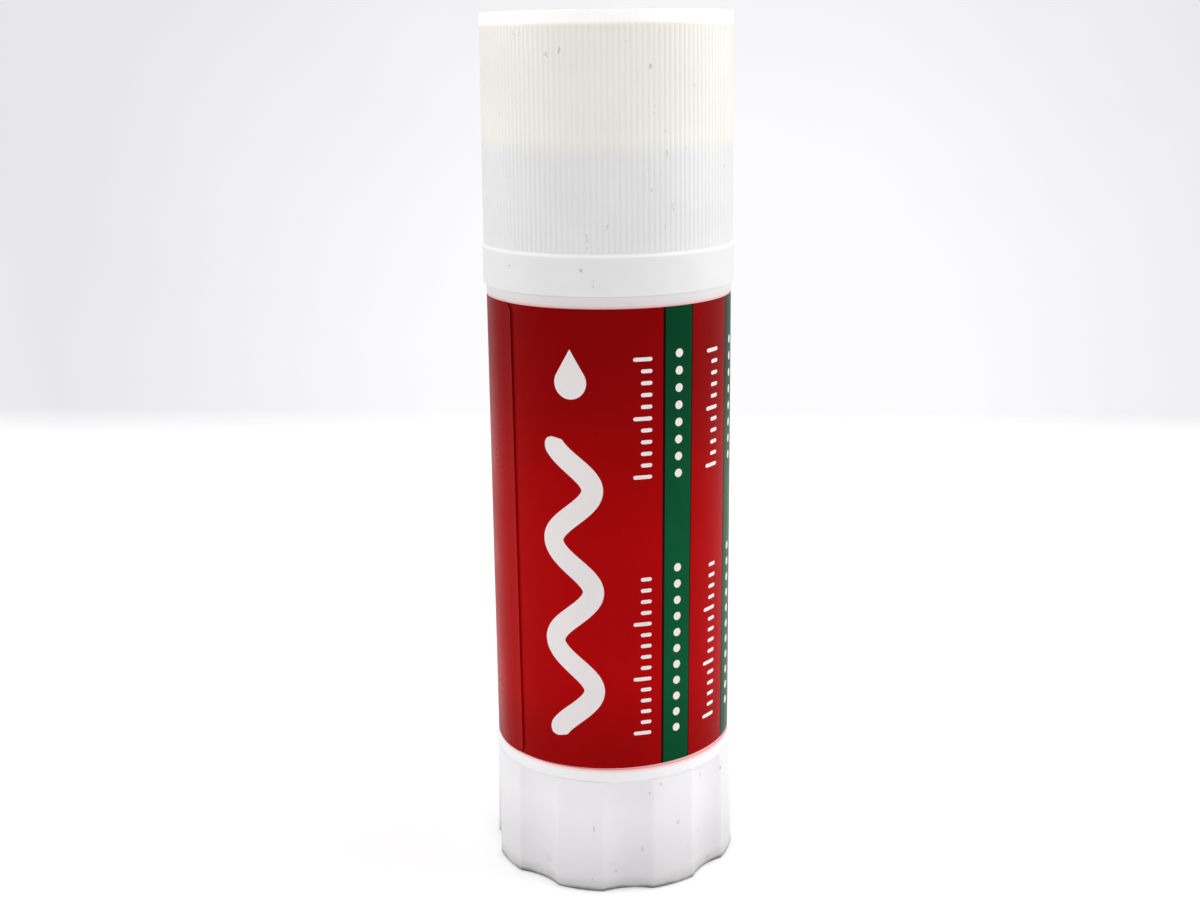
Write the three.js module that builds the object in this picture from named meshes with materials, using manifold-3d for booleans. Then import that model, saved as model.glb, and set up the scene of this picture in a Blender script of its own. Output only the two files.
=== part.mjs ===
// A large glue stick: a scalloped knob turns a lead screw that lifts a cup of glue up a labelled tube,
// under a finely fluted push-on cap. Millimetres, +Z up. The origin is the middle of the foot that
// the stick stands on, and the front of the label faces -Y.

import * as THREE from 'three';
import { mergeGeometries, mergeVertices } from 'three/addons/utils/BufferGeometryUtils.js';
import Module from 'manifold-3d';

const wasm = await Module();
wasm.setup();

// Clearances.
const RUNNING_GAP = 0.3; // between a piece that turns or slides and its neighbour
const FACE_GAP = 0.1; // between two faces that rest or rub on each other
const LABEL_GAP = 0.05; // between the label and the barrel under it
const KEY_GAP = 0.2; // between the screw's key and its socket

// Heights that stack up the outside, from the foot to the top of the cap.
const KNOB_HEIGHT = 15.7;
const LOWER_RING_HEIGHT = 1.5;
const LABEL_HEIGHT = 60.9;
const SHOULDER_RING_HEIGHT = 1.4;
const CAP_HEIGHT = 33.9;

// Barrel and label.
const BARREL_RADIUS = 16; // over the label and the plain ring above it
const LABEL_THICKNESS = 0.12;
const LAP_ANGLE = -50; // degrees round from the front to the label's lapped end
const LAP_SPAN = 30; // degrees over which the lap fades into the single layer
const BARREL_WALL = 2.2; // from the plain rings in to the bore
const SHOULDER_RING_EDGE = 0.2;
const LOWER_RING_EDGE = 0.15;
const LOWER_RING_FLARE = 0.3; // how far the ring under the label spreads out to meet the knob's lobes

// Neck that the cap slides over.
const NECK_WALL = 0.95;
const NECK_HEIGHT = 14.4;
const NECK_BEAD = 0.22; // how far the cap's friction bead stands out
const NECK_BEAD_SLOPE = 0.5; // height of the slope under and over its crest
const NECK_BEAD_CREST = 0.4;
const NECK_BEAD_RISE = 3.6; // from the shoulder to the bead
const RIM_EDGE = 0.35;
const RIM_INNER_EDGE = 0.18;

// Floor of the tube, and the spigot that the knob snaps over.
const FLOOR_THICKNESS = 2;
const SPIGOT_STEP = 2.5; // from the plain ring in to the spigot
const SPIGOT_WALL = 1.2;
const SPIGOT_LENGTH = 10;
const SPIGOT_BEAD = 0.65;
const SPIGOT_BEAD_LEAD = 0.8; // height of the slope under its crest
const SPIGOT_BEAD_CREST = 0.5;
const SPIGOT_BEAD_BACK = 0.5; // height of the slope over it

// Ribs along the bore that keep the carrier from turning.
const GUIDE_COUNT = 4;
const GUIDE_WIDTH = 1.2;
const GUIDE_HEIGHT = 0.8;
const GUIDE_STOP = 6; // below the rim of the neck
const GUIDE_ROOT = 0.5; // how deep a rib is rooted in the wall

// Knob.
const KNOB_PROUD = 0.35; // how far its lobes stand out past the barrel at the top
const KNOB_FLARE = 0.25; // how much wider it is at the foot
const KNOB_CLEARANCE = 0.35; // round the spigot's bead
const KNOB_TOP_EDGE = 0.35;
const KNOB_FOOT_EDGE = 0.45;
const KNOB_FLOOR = 1.6;
const FOOT_RECESS_DEPTH = 1;
const FOOT_RIM_WIDTH = 3.6; // flat ring and edge that the stick stands on
const SCALLOP_COUNT = 8;
const SCALLOP_DEPTH = 0.95;
const SCALLOP_RADIUS = 9.3; // of the hollow itself
const SCALLOP_ANGLE = 6.4; // degrees round from the front to one of the hollows
const SNAP_LIP_CREST = 0.4;

// Socket in the knob, and the key of the screw that sits in it.
const KEY_WIDTH = 6; // across the flats of the hexagon
const KEY_LENGTH = 9.4;
const SOCKET_WALL = 2;

// Lead screw: a left-hand thread, so turning the knob to the right lifts the glue.
const JOURNAL_RADIUS = 4;
const FLANGE_WIDTH = 2.5; // from the journal out to its edge
const FLANGE_THICKNESS = 1.2;
const THREAD_LEAD = 6; // climb in one turn
const THREAD_CORE = 2.6;
const THREAD_CREST = 3.8;
const CREST_WIDTH = 1;
const ROOT_WIDTH = 2.2;
const SCREW_TIP_DROP = 3; // from the rim of the neck down to the tip of the screw
const SCREW_TIP_LENGTH = 1.2;
const SCREW_TIP_STEP = 0.25; // from the core in to the foot of the plain tip
const SCREW_TIP_RADIUS = 1.3;

// Carrier cup and its nut.
const CUP_HEIGHT = 7;
const CUP_WALL = 1.5;
const CUP_FLOOR = 1.8;
const CUP_EDGE = 0.4;
const NUT_WALL = 1.7; // outside the thread's crest
const NUT_HEIGHT = 9;

// Glue, about a third of it left.
const GLUE_LENGTH = 24; // from the floor of the cup
const GLUE_DROP = 2; // from the rim of the neck down to the top of the glue
const GLUE_EDGE = 1.1;

// Cap.
const CAP_BAND_HEIGHT = 5.1;
const CAP_WALL = 1.11; // at the plain band
const CAP_LEDGE = 0.14; // from the band in to the flutes
const CAP_DRAFT = 0.2; // how much the flutes lean in up to the rim
const CAP_RIM_HEIGHT = 1.6; // smooth rim above the flutes
const CAP_TOP_EDGE = 0.35;
const CAP_MOUTH_EDGE = 0.15;
const CAP_LEAD_IN = 0.4; // how much wider its mouth starts
const CAP_TOP_WALL = 1.5;
const CAP_INNER_DRAFT = 0.3; // how much the inside narrows from the rim of the neck to the top
const FLUTE_COUNT = 144;
const FLUTE_DEPTH = 0.15;
const FLUTE_WIDTH = 0.38;
const FLUTE_RUN_OUT = 0.4; // height over which a flute's top end runs out into the rim

// Facets in one turn.
const FINE = 80;
const MEDIUM = 48;
const COARSE = 40;
const THREAD_STEPS = 20;
const EDGE_STEPS = 3; // facets in a broad rounded edge
const FINE_EDGE_STEPS = 2; // facets in a small one
const COVE_STEPS = 3; // facets down the flare of the lower ring

// Making sizes, which leave no trace in the shape.
const WELD = 1e-4; // corners closer than this are one corner
const BEYOND = 1; // how far a cutter runs past the face that it cuts
const ROOTED = 0.2; // how far two joined lengths of one piece run into each other

// Levels up the axis.
const tubeFoot = KNOB_HEIGHT + FACE_GAP;
const labelFoot = tubeFoot + LOWER_RING_HEIGHT;
const labelTop = labelFoot + LABEL_HEIGHT;
const shoulder = labelTop + SHOULDER_RING_HEIGHT;
const capFoot = shoulder + FACE_GAP;
const capTop = capFoot + CAP_HEIGHT;
const neckRim = shoulder + NECK_HEIGHT;
const floorUnder = tubeFoot + RUNNING_GAP;
const floorTop = floorUnder + FLOOR_THICKNESS;
const spigotFoot = tubeFoot - SPIGOT_LENGTH;
const spigotCrest = spigotFoot + SPIGOT_BEAD_LEAD;
const spigotBeadTop = spigotCrest + SPIGOT_BEAD_CREST + SPIGOT_BEAD_BACK;
const flangeFoot = floorTop + RUNNING_GAP;
const flangeTop = flangeFoot + FLANGE_THICKNESS;
const screwTip = neckRim - SCREW_TIP_DROP;
const glueTop = neckRim - GLUE_DROP;
const glueFoot = glueTop - GLUE_LENGTH;
const cupTopOfFloor = glueFoot - FACE_GAP;
const cupFoot = cupTopOfFloor - CUP_FLOOR;
const cupRim = cupFoot + CUP_HEIGHT;
const nutTop = cupFoot + NUT_HEIGHT;
const socketFloor = FOOT_RECESS_DEPTH + KNOB_FLOOR + FACE_GAP;
const keyFoot = socketFloor + FACE_GAP;
const keyTop = keyFoot + KEY_LENGTH;

// Radii that follow from their neighbours.
const seatRadius = BARREL_RADIUS - LABEL_THICKNESS - LABEL_GAP;
const boreRadius = BARREL_RADIUS - BARREL_WALL;
const neckRadius = boreRadius + NECK_WALL;
const neckBead = neckRadius + NECK_BEAD;
const pistonRadius = boreRadius - RUNNING_GAP;
const cupRadius = pistonRadius - CUP_WALL;
const floorHole = JOURNAL_RADIUS + RUNNING_GAP;
const flangeRadius = JOURNAL_RADIUS + FLANGE_WIDTH;
const nutRadius = THREAD_CREST + RUNNING_GAP + NUT_WALL;
const spigotRadius = BARREL_RADIUS - SPIGOT_STEP;
const spigotBead = spigotRadius + SPIGOT_BEAD;
const knobTopRadius = BARREL_RADIUS + KNOB_PROUD;
const knobFootRadius = knobTopRadius + KNOB_FLARE;
const knobInside = spigotBead + KNOB_CLEARANCE;
const snapLip = spigotRadius + RUNNING_GAP;
const capInside = neckBead + RUNNING_GAP;
const capBandRadius = capInside + CAP_WALL;
const fluteFootRadius = capBandRadius - CAP_LEDGE;
const fluteTopRadius = fluteFootRadius - CAP_DRAFT;

// The angle in the XY plane of a direction given in degrees round from the front.
function fromFront(degrees) {
  return THREE.MathUtils.degToRad(degrees - 90);
}

// Points of a rounded edge of a profile, as [radius, height] pairs.
function roundedEdge(radius, height, size, fromDegrees, toDegrees, steps = EDGE_STEPS) {
  const points = [];
  for (let step = 0; step <= steps; step += 1) {
    const turn = THREE.MathUtils.degToRad(THREE.MathUtils.lerp(fromDegrees, toDegrees, step / steps));
    points.push([radius + size * Math.cos(turn), height + size * Math.sin(turn)]);
  }
  return points;
}

// A closed geometry, with its corners merged and its faces turned out, as a solid that can be cut.
function solidFrom(geometry) {
  const bare = geometry.clone();
  bare.deleteAttribute('normal');
  bare.deleteAttribute('uv');
  const merged = mergeVertices(bare, WELD);
  const position = merged.getAttribute('position');
  const corner = (index) => new THREE.Vector3().fromBufferAttribute(position, index);
  const faces = [];
  let volume = 0;
  for (let i = 0; i < merged.index.count; i += 3) {
    const [a, b, c] = [merged.index.getX(i), merged.index.getX(i + 1), merged.index.getX(i + 2)];
    if (a !== b && b !== c && c !== a) {
      faces.push([a, b, c]);
      volume += corner(a).dot(corner(b).cross(corner(c)));
    }
  }
  const outward = volume > 0 ? faces : faces.map(([a, b, c]) => [a, c, b]);
  return new wasm.Manifold(new wasm.Mesh({
    numProp: 3,
    vertProperties: new Float32Array(position.array),
    triVerts: new Uint32Array(outward.flat()),
  }));
}

// A profile of [radius, height] pairs turned round the Z axis.
function turned(profile, segments) {
  const points = profile.map(([radius, height]) => new THREE.Vector2(radius, height));
  return solidFrom(new THREE.LatheGeometry(points, segments).rotateX(Math.PI / 2));
}

// The same, for a profile that closes on itself away from the axis.
function turnedRing(profile, segments) {
  return turned([...profile, profile[0]], segments);
}

// A straight round or many-sided bar on the axis.
function bar(radius, from, to, sides) {
  const shape = new THREE.CylinderGeometry(radius, radius, to - from, sides);
  return solidFrom(shape.rotateX(Math.PI / 2).translate(0, 0, (from + to) / 2));
}

// A hexagonal bar on the axis, by its width across the flats.
function hexBar(width, from, to) {
  return bar(width / 2 / Math.cos(Math.PI / 6), from, to, 6);
}

// Radial blocks spaced evenly round the axis, between two radii and two heights.
function radialBlocks(count, width, inner, outer, from, to) {
  const blocks = [];
  for (let i = 0; i < count; i += 1) {
    const block = new THREE.BoxGeometry(outer - inner, width, to - from);
    block.translate((inner + outer) / 2, 0, (from + to) / 2);
    blocks.push(block.rotateZ(((i + 0.5) * 2 * Math.PI) / count));
  }
  return solidFrom(mergeGeometries(blocks));
}

// A left-hand screw thread from one height to another, fatter all round by a clearance. One ribbon of
// four profile corners winds up the axis; its two ends are drawn to points and then cut square.
function thread(from, to, clearance) {
  const crestHalf = CREST_WIDTH / 2 + clearance;
  const rootHalf = ROOT_WIDTH / 2 + clearance;
  const core = THREAD_CORE + clearance;
  const crest = THREAD_CREST + clearance;
  const profile = [[-rootHalf, core], [-crestHalf, crest], [crestHalf, crest], [rootHalf, core]];
  const start = Math.floor(from / THREAD_LEAD - 1) * THREAD_LEAD;
  const turns = Math.ceil((to - start) / THREAD_LEAD) + 1;
  const steps = turns * THREAD_STEPS;
  const positions = [];
  const index = new Map();

  function place(step, corner) {
    if (corner === profile.length) {
      return place(step + THREAD_STEPS, 0);
    }
    const key = step * profile.length + corner;
    if (!index.has(key)) {
      const [offset, radius] = profile[corner];
      const angle = (-2 * Math.PI * step) / THREAD_STEPS;
      const height = start + (THREAD_LEAD * step) / THREAD_STEPS + offset;
      index.set(key, positions.length / 3);
      positions.push(radius * Math.cos(angle), radius * Math.sin(angle), height);
    }
    return index.get(key);
  }

  const triangles = [];
  for (let step = 0; step < steps; step += 1) {
    for (let corner = 0; corner < profile.length; corner += 1) {
      const [a, b] = [place(step, corner), place(step + 1, corner)];
      const [c, d] = [place(step + 1, corner + 1), place(step, corner + 1)];
      triangles.push(a, c, b, a, d, c);
    }
  }
  const bottom = positions.length / 3;
  positions.push(0, 0, start - THREAD_LEAD);
  const top = bottom + 1;
  positions.push(0, 0, start + THREAD_LEAD * (turns + 2));
  for (let step = 0; step < THREAD_STEPS; step += 1) {
    triangles.push(bottom, place(step, 0), place(step + 1, 0));
    triangles.push(top, place(steps + step + 1, 0), place(steps + step, 0));
  }
  for (let corner = 0; corner < profile.length; corner += 1) {
    triangles.push(bottom, place(0, corner + 1), place(0, corner));
    triangles.push(top, place(steps, corner), place(steps, corner + 1));
  }
  const ribbon = new THREE.BufferGeometry();
  ribbon.setAttribute('position', new THREE.Float32BufferAttribute(positions, 3));
  ribbon.setIndex(triangles);
  const roughEnds = solidFrom(ribbon);
  return roughEnds.intersect(bar(crest + BEYOND, from, to, COARSE));
}

// The hollow flare of the ring under the label, from just over its foot up to the label.
function ringCove() {
  const coveFoot = tubeFoot + LOWER_RING_EDGE;
  return Array.from({ length: COVE_STEPS + 1 }, (_, step) => {
    const down = 1 - step / COVE_STEPS; // from the label to the foot of the flare
    return [BARREL_RADIUS + LOWER_RING_FLARE * down ** 2, THREE.MathUtils.lerp(labelFoot, coveFoot, down)];
  });
}

// Tube: spigot, lower ring, seat of the label, shoulder ring, neck, and the floor with its hole.
function makeTube() {
  const beadFoot = shoulder + NECK_BEAD_RISE;
  const profile = [
    [floorHole, floorUnder],
    [spigotRadius - SPIGOT_WALL, floorUnder],
    [spigotRadius - SPIGOT_WALL, spigotFoot],
    [spigotRadius, spigotFoot],
    [spigotBead, spigotCrest],
    [spigotBead, spigotCrest + SPIGOT_BEAD_CREST],
    [spigotRadius, spigotBeadTop],
    [spigotRadius, tubeFoot],
    [BARREL_RADIUS + LOWER_RING_FLARE - LOWER_RING_EDGE, tubeFoot],
    ...ringCove(),
    [seatRadius, labelFoot],
    [seatRadius, labelTop],
    [BARREL_RADIUS, labelTop],
    [BARREL_RADIUS, shoulder - SHOULDER_RING_EDGE],
    [BARREL_RADIUS - SHOULDER_RING_EDGE, shoulder],
    [neckRadius, shoulder],
    [neckRadius, beadFoot],
    [neckBead, beadFoot + NECK_BEAD_SLOPE],
    [neckBead, beadFoot + NECK_BEAD_SLOPE + NECK_BEAD_CREST],
    [neckRadius, beadFoot + 2 * NECK_BEAD_SLOPE + NECK_BEAD_CREST],
    [neckRadius, neckRim - RIM_EDGE],
    [neckRadius - RIM_EDGE, neckRim],
    [boreRadius + RIM_INNER_EDGE, neckRim],
    [boreRadius, neckRim - RIM_INNER_EDGE],
    [boreRadius, floorTop],
    [floorHole, floorTop],
  ];
  const guideInner = boreRadius - GUIDE_HEIGHT;
  const guideOuter = boreRadius + GUIDE_ROOT;
  const guideFoot = floorTop - GUIDE_ROOT;
  const guideTop = neckRim - GUIDE_STOP;
  const guides = radialBlocks(GUIDE_COUNT, GUIDE_WIDTH, guideInner, guideOuter, guideFoot, guideTop);
  return turnedRing(profile, MEDIUM).add(guides);
}

// Label: one wrap of paper whose end laps over its start.
function makeLabel() {
  const inside = seatRadius + LABEL_GAP;
  const outer = [];
  const inner = [];
  for (let i = 0; i <= MEDIUM; i += 1) {
    const back = 360 * (1 - i / MEDIUM); // degrees back from the lapped end
    const lap = LABEL_THICKNESS * Math.max(0, 1 - back / LAP_SPAN);
    const ray = new THREE.Vector2(1, 0).rotateAround(new THREE.Vector2(), fromFront(LAP_ANGLE - back));
    outer.push(ray.clone().multiplyScalar(inside + LABEL_THICKNESS + lap));
    if (i < MEDIUM) {
      inner.unshift(ray.clone().multiplyScalar(inside));
    }
  }
  const outline = new THREE.Shape(outer);
  outline.holes.push(new THREE.Path(inner));
  const depth = LABEL_HEIGHT - 2 * LABEL_GAP;
  const sleeve = new THREE.ExtrudeGeometry(outline, { depth, bevelEnabled: false });
  return solidFrom(sleeve.translate(0, 0, labelFoot + LABEL_GAP));
}

// Knob: a cup with a recessed foot, eight hollows round its grip, a snap lip and the screw's socket.
function makeKnob() {
  const recess = knobFootRadius - FOOT_RIM_WIDTH;
  const footRadius = knobFootRadius - KNOB_FOOT_EDGE;
  const footEdge = roundedEdge(footRadius, KNOB_FOOT_EDGE, KNOB_FOOT_EDGE, -90, 0, FINE_EDGE_STEPS);
  const topHeight = KNOB_HEIGHT - KNOB_TOP_EDGE;
  const topRadius = knobTopRadius - KNOB_TOP_EDGE;
  const topEdge = roundedEdge(topRadius, topHeight, KNOB_TOP_EDGE, 0, 90, FINE_EDGE_STEPS);
  const grip = turned([
    [0, FOOT_RECESS_DEPTH],
    [recess - FOOT_RECESS_DEPTH, FOOT_RECESS_DEPTH],
    [recess, 0],
    ...footEdge,
    ...topEdge,
    [0, KNOB_HEIGHT],
  ], FINE);

  const axisRadius = (knobFootRadius + knobTopRadius) / 2 - SCALLOP_DEPTH + SCALLOP_RADIUS;
  const reach = KNOB_HEIGHT + 2 * BEYOND;
  const hollows = [];
  for (let i = 0; i < SCALLOP_COUNT; i += 1) {
    const hollow = new THREE.CylinderGeometry(SCALLOP_RADIUS, SCALLOP_RADIUS, reach, COARSE);
    hollow.rotateX(Math.PI / 2).rotateY(-Math.atan(KNOB_FLARE / KNOB_HEIGHT));
    hollow.translate(axisRadius, 0, KNOB_HEIGHT / 2);
    hollow.rotateZ(fromFront(SCALLOP_ANGLE + (i * 360) / SCALLOP_COUNT));
    hollows.push(solidFrom(hollow));
  }

  const lipFoot = spigotBeadTop + RUNNING_GAP;
  const lipSlope = knobInside - snapLip;
  const insideFloor = FOOT_RECESS_DEPTH + KNOB_FLOOR;
  const inside = turned([
    [0, insideFloor],
    [knobInside, insideFloor],
    [knobInside, lipFoot],
    [snapLip, lipFoot],
    [snapLip, lipFoot + SNAP_LIP_CREST],
    [knobInside, lipFoot + SNAP_LIP_CREST + lipSlope],
    [knobInside, KNOB_HEIGHT + BEYOND],
    [0, KNOB_HEIGHT + BEYOND],
  ], COARSE);

  const socketWidth = KEY_WIDTH + 2 * KEY_GAP;
  const socketRadius = socketWidth / 2 / Math.cos(Math.PI / 6) + SOCKET_WALL;
  const socketTop = keyTop - RUNNING_GAP;
  const boss = bar(socketRadius, FOOT_RECESS_DEPTH + KNOB_FLOOR / 2, socketTop, COARSE);
  const socket = hexBar(socketWidth, socketFloor, socketTop + BEYOND);

  let knob = grip;
  for (const hollow of hollows) {
    knob = knob.subtract(hollow);
  }
  return knob.subtract(inside).add(boss).subtract(socket);
}

// Spindle: hexagonal key, journal through the tube's floor, flange over it, thread and plain tip.
function makeSpindle() {
  const threadFoot = flangeTop - ROOTED;
  const threadTop = screwTip - SCREW_TIP_LENGTH;
  const body = turned([
    [0, keyTop],
    [JOURNAL_RADIUS, keyTop],
    [JOURNAL_RADIUS, flangeFoot],
    [flangeRadius, flangeFoot],
    [flangeRadius, flangeTop],
    [0, flangeTop],
  ], COARSE);
  const tip = turned([
    [0, threadTop - ROOTED],
    [THREAD_CORE - SCREW_TIP_STEP, threadTop - ROOTED],
    [THREAD_CORE - SCREW_TIP_STEP, threadTop],
    [SCREW_TIP_RADIUS, screwTip],
    [0, screwTip],
  ], THREAD_STEPS);
  const key = hexBar(KEY_WIDTH, keyFoot, keyTop + ROOTED);
  return body.add(key).add(thread(threadFoot, threadTop, 0)).add(tip);
}

// Notches that clear the tube's guide ribs, cut into whatever slides in the bore.
function guideNotches(from, to) {
  const width = GUIDE_WIDTH + 2 * RUNNING_GAP;
  const inner = boreRadius - GUIDE_HEIGHT - RUNNING_GAP;
  return radialBlocks(GUIDE_COUNT, width, inner, boreRadius + BEYOND, from, to);
}

// Carrier: a piston cup with the nut of the thread in its hub.
function makeCarrier() {
  const cup = turned([
    [0, cupFoot],
    [pistonRadius - CUP_EDGE, cupFoot],
    [pistonRadius, cupFoot + CUP_EDGE],
    [pistonRadius, cupRim],
    [cupRadius, cupRim],
    [cupRadius, cupTopOfFloor],
    [nutRadius, cupTopOfFloor],
    [nutRadius, nutTop],
    [0, nutTop],
  ], COARSE);
  return cup
    .subtract(guideNotches(cupFoot - BEYOND, cupRim + BEYOND))
    .subtract(thread(cupFoot - BEYOND, nutTop + BEYOND, RUNNING_GAP));
}

// Glue: poured into the cup round the nut, and bored through by the screw as it rose past it.
function makeGlue() {
  const bore = THREAD_CREST + RUNNING_GAP;
  const stick = turnedRing([
    [nutRadius + RUNNING_GAP, glueFoot],
    [cupRadius - RUNNING_GAP, glueFoot],
    [cupRadius - RUNNING_GAP, cupRim + RUNNING_GAP],
    [pistonRadius, cupRim + RUNNING_GAP],
    ...roundedEdge(pistonRadius - GLUE_EDGE, glueTop - GLUE_EDGE, GLUE_EDGE, 0, 90),
    [bore, glueTop],
    [bore, nutTop + RUNNING_GAP],
    [nutRadius + RUNNING_GAP, nutTop + RUNNING_GAP],
  ], COARSE);
  return stick.subtract(guideNotches(cupRim, glueTop + BEYOND));
}

// A closed skin over a stack of rings, each an array of points once round the axis, lowest ring first.
// A ring may have several times as many points as its neighbour. Flat ends close the stack.
function skinOver(rings) {
  const positions = [];
  const triangles = [];
  const firsts = [];
  for (const ring of rings) {
    firsts.push(positions.length / 3);
    ring.forEach((point) => positions.push(point.x, point.y, point.z));
  }
  for (let level = 0; level + 1 < rings.length; level += 1) {
    const sectors = Math.min(rings[level].length, rings[level + 1].length);
    const lowSteps = rings[level].length / sectors;
    const highSteps = rings[level + 1].length / sectors;
    const low = (i) => firsts[level] + (i % rings[level].length);
    const high = (i) => firsts[level + 1] + (i % rings[level + 1].length);
    for (let sector = 0; sector < sectors; sector += 1) {
      let i = sector * lowSteps;
      let j = sector * highSteps;
      const [iEnd, jEnd] = [i + lowSteps, j + highSteps];
      while (i < iEnd || j < jEnd) {
        if (i < iEnd && (j === jEnd || (i + 0.5) / lowSteps <= (j + 0.5) / highSteps)) {
          triangles.push(low(i), low(i + 1), high(j));
          i += 1;
        } else {
          triangles.push(low(i), high(j + 1), high(j));
          j += 1;
        }
      }
    }
  }
  const [bottom, top] = [positions.length / 3, positions.length / 3 + 1];
  positions.push(0, 0, rings[0][0].z, 0, 0, rings[rings.length - 1][0].z);
  const lowest = rings[0].length;
  const highest = rings[rings.length - 1].length;
  const lastFirst = firsts[rings.length - 1];
  for (let i = 0; i < lowest; i += 1) {
    triangles.push(bottom, (i + 1) % lowest, i);
  }
  for (let i = 0; i < highest; i += 1) {
    triangles.push(top, lastFirst + i, lastFirst + ((i + 1) % highest));
  }
  const skin = new THREE.BufferGeometry();
  skin.setAttribute('position', new THREE.Float32BufferAttribute(positions, 3));
  skin.setIndex(triangles);
  return solidFrom(skin);
}

// A point by its radius, its angle round the axis and its height.
function around(radius, angle, height) {
  return new THREE.Vector3(radius * Math.cos(angle), radius * Math.sin(angle), height);
}

// One plain ring of the cap, with a point at each flute.
function plainRing(radius, height) {
  const pitch = (2 * Math.PI) / FLUTE_COUNT;
  return Array.from({ length: FLUTE_COUNT }, (_, flute) => around(radius, flute * pitch, height));
}

// One fluted ring of the cap: the bottom of each narrow groove and the two edges of the rib after it.
function flutedRing(radius, height) {
  const pitch = (2 * Math.PI) / FLUTE_COUNT;
  const half = FLUTE_WIDTH / 2 / radius;
  return Array.from({ length: FLUTE_COUNT }, (_, flute) => [
    around(radius - FLUTE_DEPTH, flute * pitch, height),
    around(radius, flute * pitch + half, height),
    around(radius, (flute + 1) * pitch - half, height),
  ]).flat();
}

// Cap: fluted skirt between a plain band and a smooth rim, with a lead-in round its mouth.
function makeCap() {
  const fluteFoot = capFoot + CAP_BAND_HEIGHT;
  const fluteTop = capTop - CAP_RIM_HEIGHT;
  const topHeight = capTop - CAP_TOP_EDGE;
  const topRadius = fluteTopRadius - CAP_TOP_EDGE;
  const topEdge = roundedEdge(topRadius, topHeight, CAP_TOP_EDGE, 0, 90, FINE_EDGE_STEPS);
  const skin = skinOver([
    plainRing(capBandRadius - CAP_MOUTH_EDGE, capFoot),
    plainRing(capBandRadius, capFoot + CAP_MOUTH_EDGE),
    plainRing(capBandRadius, fluteFoot - CAP_LEDGE),
    flutedRing(fluteFootRadius, fluteFoot),
    flutedRing(fluteTopRadius, fluteTop - FLUTE_RUN_OUT),
    plainRing(fluteTopRadius, fluteTop),
    ...topEdge.map(([radius, height]) => plainRing(radius, height)),
  ]);

  const insideTop = capTop - CAP_TOP_WALL;
  const inside = turned([
    [0, capFoot - BEYOND],
    [capInside + CAP_LEAD_IN, capFoot - BEYOND],
    [capInside + CAP_LEAD_IN, capFoot],
    [capInside, capFoot + CAP_LEAD_IN],
    [capInside, neckRim],
    [capInside - CAP_INNER_DRAFT, insideTop],
    [0, insideTop],
  ], MEDIUM);
  return skin.subtract(inside);
}

// A solid as a named mesh with its own material.
function piece(name, solid, color, roughness) {
  const result = solid.getMesh();
  const geometry = new THREE.BufferGeometry();
  const positions = new Float32Array(result.vertProperties);
  geometry.setAttribute('position', new THREE.BufferAttribute(positions, 3));
  geometry.setIndex(new THREE.BufferAttribute(new Uint32Array(result.triVerts), 1));
  geometry.computeVertexNormals();
  const material = new THREE.MeshStandardMaterial({ color, roughness, metalness: 0, flatShading: true });
  const mesh = new THREE.Mesh(geometry, material);
  mesh.name = name;
  return mesh;
}

const WHITE_PLASTIC = 0xf2f2f4;
const WARM_PLASTIC = 0xe9e8e6;
const LABEL_RED = 0xb0121c;
const GLUE_WHITE = 0xf3efe2;

// The barrel with its label, the turning pieces, the lifted pieces and the cap.
const barrel = new THREE.Group();
barrel.add(piece('tube', makeTube(), WHITE_PLASTIC, 0.35));
barrel.add(piece('label', makeLabel(), LABEL_RED, 0.4));

const drive = new THREE.Group();
drive.add(piece('knob', makeKnob(), WHITE_PLASTIC, 0.35));
drive.add(piece('spindle', makeSpindle(), WARM_PLASTIC, 0.45));

const lift = new THREE.Group();
lift.add(piece('carrier', makeCarrier(), WARM_PLASTIC, 0.45));
lift.add(piece('glue', makeGlue(), GLUE_WHITE, 0.6));

const lid = new THREE.Group();
lid.add(piece('cap', makeCap(), WHITE_PLASTIC, 0.4));

const glueStick = new THREE.Group();
glueStick.add(barrel, drive, lift, lid);

export default glueStick;
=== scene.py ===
"""A large glue stick: scalloped knob, labelled tube, fluted cap and the glue on its screw."""

import math

import bmesh
import bpy
from bpy.props import FloatProperty, FloatVectorProperty, IntProperty, PointerProperty
from mathutils import Matrix, Vector


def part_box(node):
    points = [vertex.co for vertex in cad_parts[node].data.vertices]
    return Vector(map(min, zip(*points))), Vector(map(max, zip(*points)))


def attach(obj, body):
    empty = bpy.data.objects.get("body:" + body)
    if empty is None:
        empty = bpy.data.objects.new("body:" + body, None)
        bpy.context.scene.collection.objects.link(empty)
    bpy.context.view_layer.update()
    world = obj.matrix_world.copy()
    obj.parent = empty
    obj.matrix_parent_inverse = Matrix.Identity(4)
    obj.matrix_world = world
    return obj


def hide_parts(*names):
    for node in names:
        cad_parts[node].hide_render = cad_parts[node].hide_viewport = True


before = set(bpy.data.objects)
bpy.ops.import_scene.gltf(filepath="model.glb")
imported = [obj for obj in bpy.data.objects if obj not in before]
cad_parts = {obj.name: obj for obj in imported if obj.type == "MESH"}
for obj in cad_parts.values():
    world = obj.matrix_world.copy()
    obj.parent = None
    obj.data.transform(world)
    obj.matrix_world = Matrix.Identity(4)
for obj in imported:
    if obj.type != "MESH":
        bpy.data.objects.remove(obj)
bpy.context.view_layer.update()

bl_info = {
    "name": "Glue Stick",
    "version": (1, 0, 0),
    "blender": (4, 5, 0),
    "location": "3D View > Sidebar > Glue Stick",
    "description": "Models a large glue stick round its packed frame, with its finishes and studio",
    "category": "Add Mesh",
}

MM = 0.001

# How many millimetres the tube's lower ring stands out beyond its barrel.
RING_FLARE = 0.3


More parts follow.
